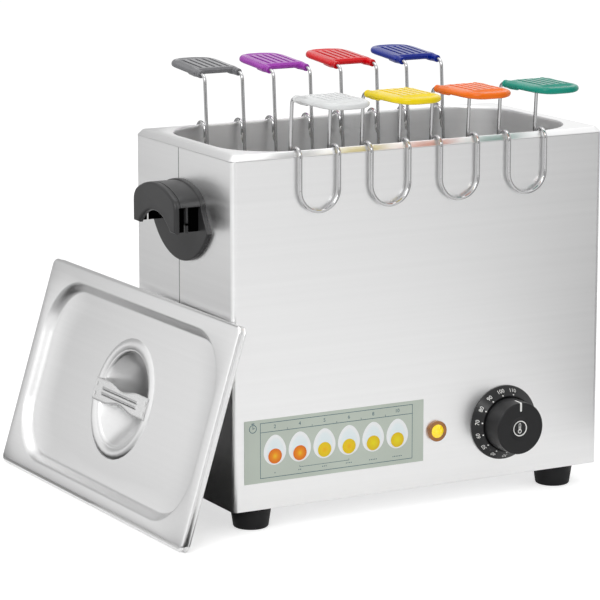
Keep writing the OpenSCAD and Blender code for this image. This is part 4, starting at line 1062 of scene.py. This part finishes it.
def dress_inside():
    dress("heating_element", brushed("element_steel", (0.3, 0.27, 0.25), 0.45, "x"))
    dress("thermostat_bulb", brushed("copper", (0.72, 0.42, 0.24), 0.3, "x"))
    dress("thermostat_body", moulded("thermostat_case", (0.72, 0.68, 0.58), 0.5))
    dress("safety_cutout", moulded("cutout_case", (0.42, 0.33, 0.22), 0.5))
    dress("terminal_block", moulded("block_plastic", (0.82, 0.78, 0.66), 0.45))
    dress("earth_stud", brushed("brass", (0.74, 0.56, 0.22), 0.3, "z"))
    black = moulded("black_nylon", (0.03, 0.03, 0.03), 0.45)
    for name in ("cable_gland", "gland_nut", "pilot_lamp_nut"):
        dress(name, black)


# ---------------------------------------------------------------- camera, light and floor


def camera():
    data = bpy.data.cameras.new("view")
    data.sensor_width = 36.0
    data.lens = 186.79
    data.clip_start, data.clip_end = 0.1, 100.0
    made = in_scene("view", data)
    made.location = (-1.21929, -2.12818, 0.65112)
    yaw, pitch = math.radians(-28.512), math.radians(-11.443)
    made.rotation_euler = (math.pi / 2 + pitch, 0.0, yaw)
    bpy.context.scene.camera = made


def aimed(place, target):
    """The turn that points a lamp or a card at the target."""
    return (Vector(target) - Vector(place)).to_track_quat("-Z", "Y").to_euler()


def area_light(name, place, target, size, power):
    data = bpy.data.lights.new(name, "AREA")
    data.shape = "RECTANGLE"
    data.size, data.size_y = size
    data.energy = power
    made = in_scene(name, data)
    made.location = place
    made.rotation_euler = aimed(place, target)


def backdrop(name, size, material):
    """A flat rectangle, in metres, that isn't part of the object."""
    w, h = size[0] / 2, size[1] / 2
    mesh = bpy.data.meshes.new(name)
    mesh.from_pydata([(-w, -h, 0), (w, -h, 0), (w, h, 0), (-w, h, 0)], [], [(0, 1, 2, 3)])
    mesh.materials.append(material)
    return in_scene(name, mesh)


def card(name, place, target, size, grey, turn=0.0):
    """A studio card that only reflections see, so that bare metal has something to show.
    It faces the target, or lies on the floor, turned by that many degrees."""
    material, tree = node_material(name)
    tree.nodes.remove(tree.nodes["Principled BSDF"])
    glow = wired(tree, "ShaderNodeEmission", {"Color": (grey, grey, grey, 1)})
    tree.links.new(glow, tree.nodes["Material Output"].inputs["Surface"])
    made = backdrop(name, size, material)
    made.location = place
    made.rotation_euler = aimed(place, target) if target else (0.0, 0.0, math.radians(turn))
    made.visible_camera = False
    made.visible_diffuse = False
    made.visible_shadow = False
    made.visible_transmission = False


def world():
    """Light of one strength for the object, and plain white behind it."""
    made = bpy.data.worlds.new("studio")
    bpy.context.scene.world = made
    made.use_nodes = True
    tree = made.node_tree
    plain = tree.nodes["Background"]
    plain.inputs["Color"].default_value = WHITE
    plain.inputs["Strength"].default_value = 0.52
    white = wired(tree, "ShaderNodeBackground", {"Color": WHITE, "Strength": 1.0})
    seen = wired(tree, "ShaderNodeLightPath", {}, "Is Camera Ray")
    for ray in ("Is Glossy Ray", "Is Transmission Ray"):
        seen = wired(tree, "ShaderNodeMath", {0: seen, 1: wired(tree, "ShaderNodeLightPath", {}, ray)},
                     operation="MAXIMUM")
    mix = wired(tree, "ShaderNodeMixShader", {0: seen, 1: plain.outputs["Background"], 2: white})
    tree.links.new(mix, tree.nodes["World Output"].inputs["Surface"])


def floor():
    """A matt floor that looks white to the camera and darker in reflections."""
    material, tree = node_material("floor")
    bsdf = tree.nodes["Principled BSDF"]
    for socket, value in (("Base Color", (0.8, 0.8, 0.8, 1)), ("Roughness", 0.9),
                          ("Specular IOR Level", 0.0)):
        bsdf.inputs[socket].default_value = value
    rays = wired(tree, "ShaderNodeLightPath", {}).node.outputs
    mirrored = wired(tree, "ShaderNodeMath", {0: rays["Is Glossy Ray"], 1: 0.22}, operation="MULTIPLY")
    level = wired(tree, "ShaderNodeMath", {0: rays["Is Camera Ray"], 1: 0.6, 2: mirrored},
                  operation="MULTIPLY_ADD")
    glow = wired(tree, "ShaderNodeEmission", {"Color": WHITE, "Strength": level})
    both = wired(tree, "ShaderNodeAddShader", {0: bsdf.outputs["BSDF"], 1: glow})
    tree.links.new(both, tree.nodes["Material Output"].inputs["Surface"])
    backdrop("floor", (60, 60), material)


def studio():
    bpy.context.scene.view_settings.view_transform = "Standard"
    world()
    floor()
    middle = (0.0, 0.0, 0.15)
    area_light("key_left_front", (-1.6, -1.5, 1.5), middle, (1.2, 1.2), 22)
    area_light("top", (0.1, 0.1, 1.9), middle, (1.6, 1.2), 9)
    card("card_right", (0.97, -0.66, 0.3), (0.16, -0.08, 0.25), (0.8, 0.64), 0.4)
    card("card_floor_right", (0.97, -0.66, 0.004), None, (0.8, 1.5), 0.34, turn=31.4)
    card("card_back_dark", (-0.17, 0.85, 0.4), (-0.17, 0.0, 0.4), (0.82, 0.8), 0.42)
    card("card_back_light", (-1.09, 0.85, 0.4), (-1.09, 0.0, 0.4), (1.0, 0.8), 0.9)
    card("card_floor_dark", (-0.41, 0.45, 0.004), None, (0.5, 0.8), 0.42)
    card("card_floor_light", (-1.11, 0.3, 0.004), None, (0.9, 1.1), 0.8)
    # painted shade: a near-black card on the floor under the lid, seen only in reflections, stands in for the
    # shade in the gap behind the lid
    card("card_gap_painted_shade", (-0.23, 0.08, 0.006), None, (0.14, 0.5), 0.01)
    card("card_camera", (-0.85, -1.5, 0.55), (0.0, 0.0, 0.2), (0.9, 0.9), 0.03)


# ---------------------------------------------------------------- the whole

camera()
dress_casing()
seam_lines()
tank_piece()
handles()
egg_chart()
dial_and_knob()
pilot_lamp()
lid()
holders()
dress_inside()
studio()
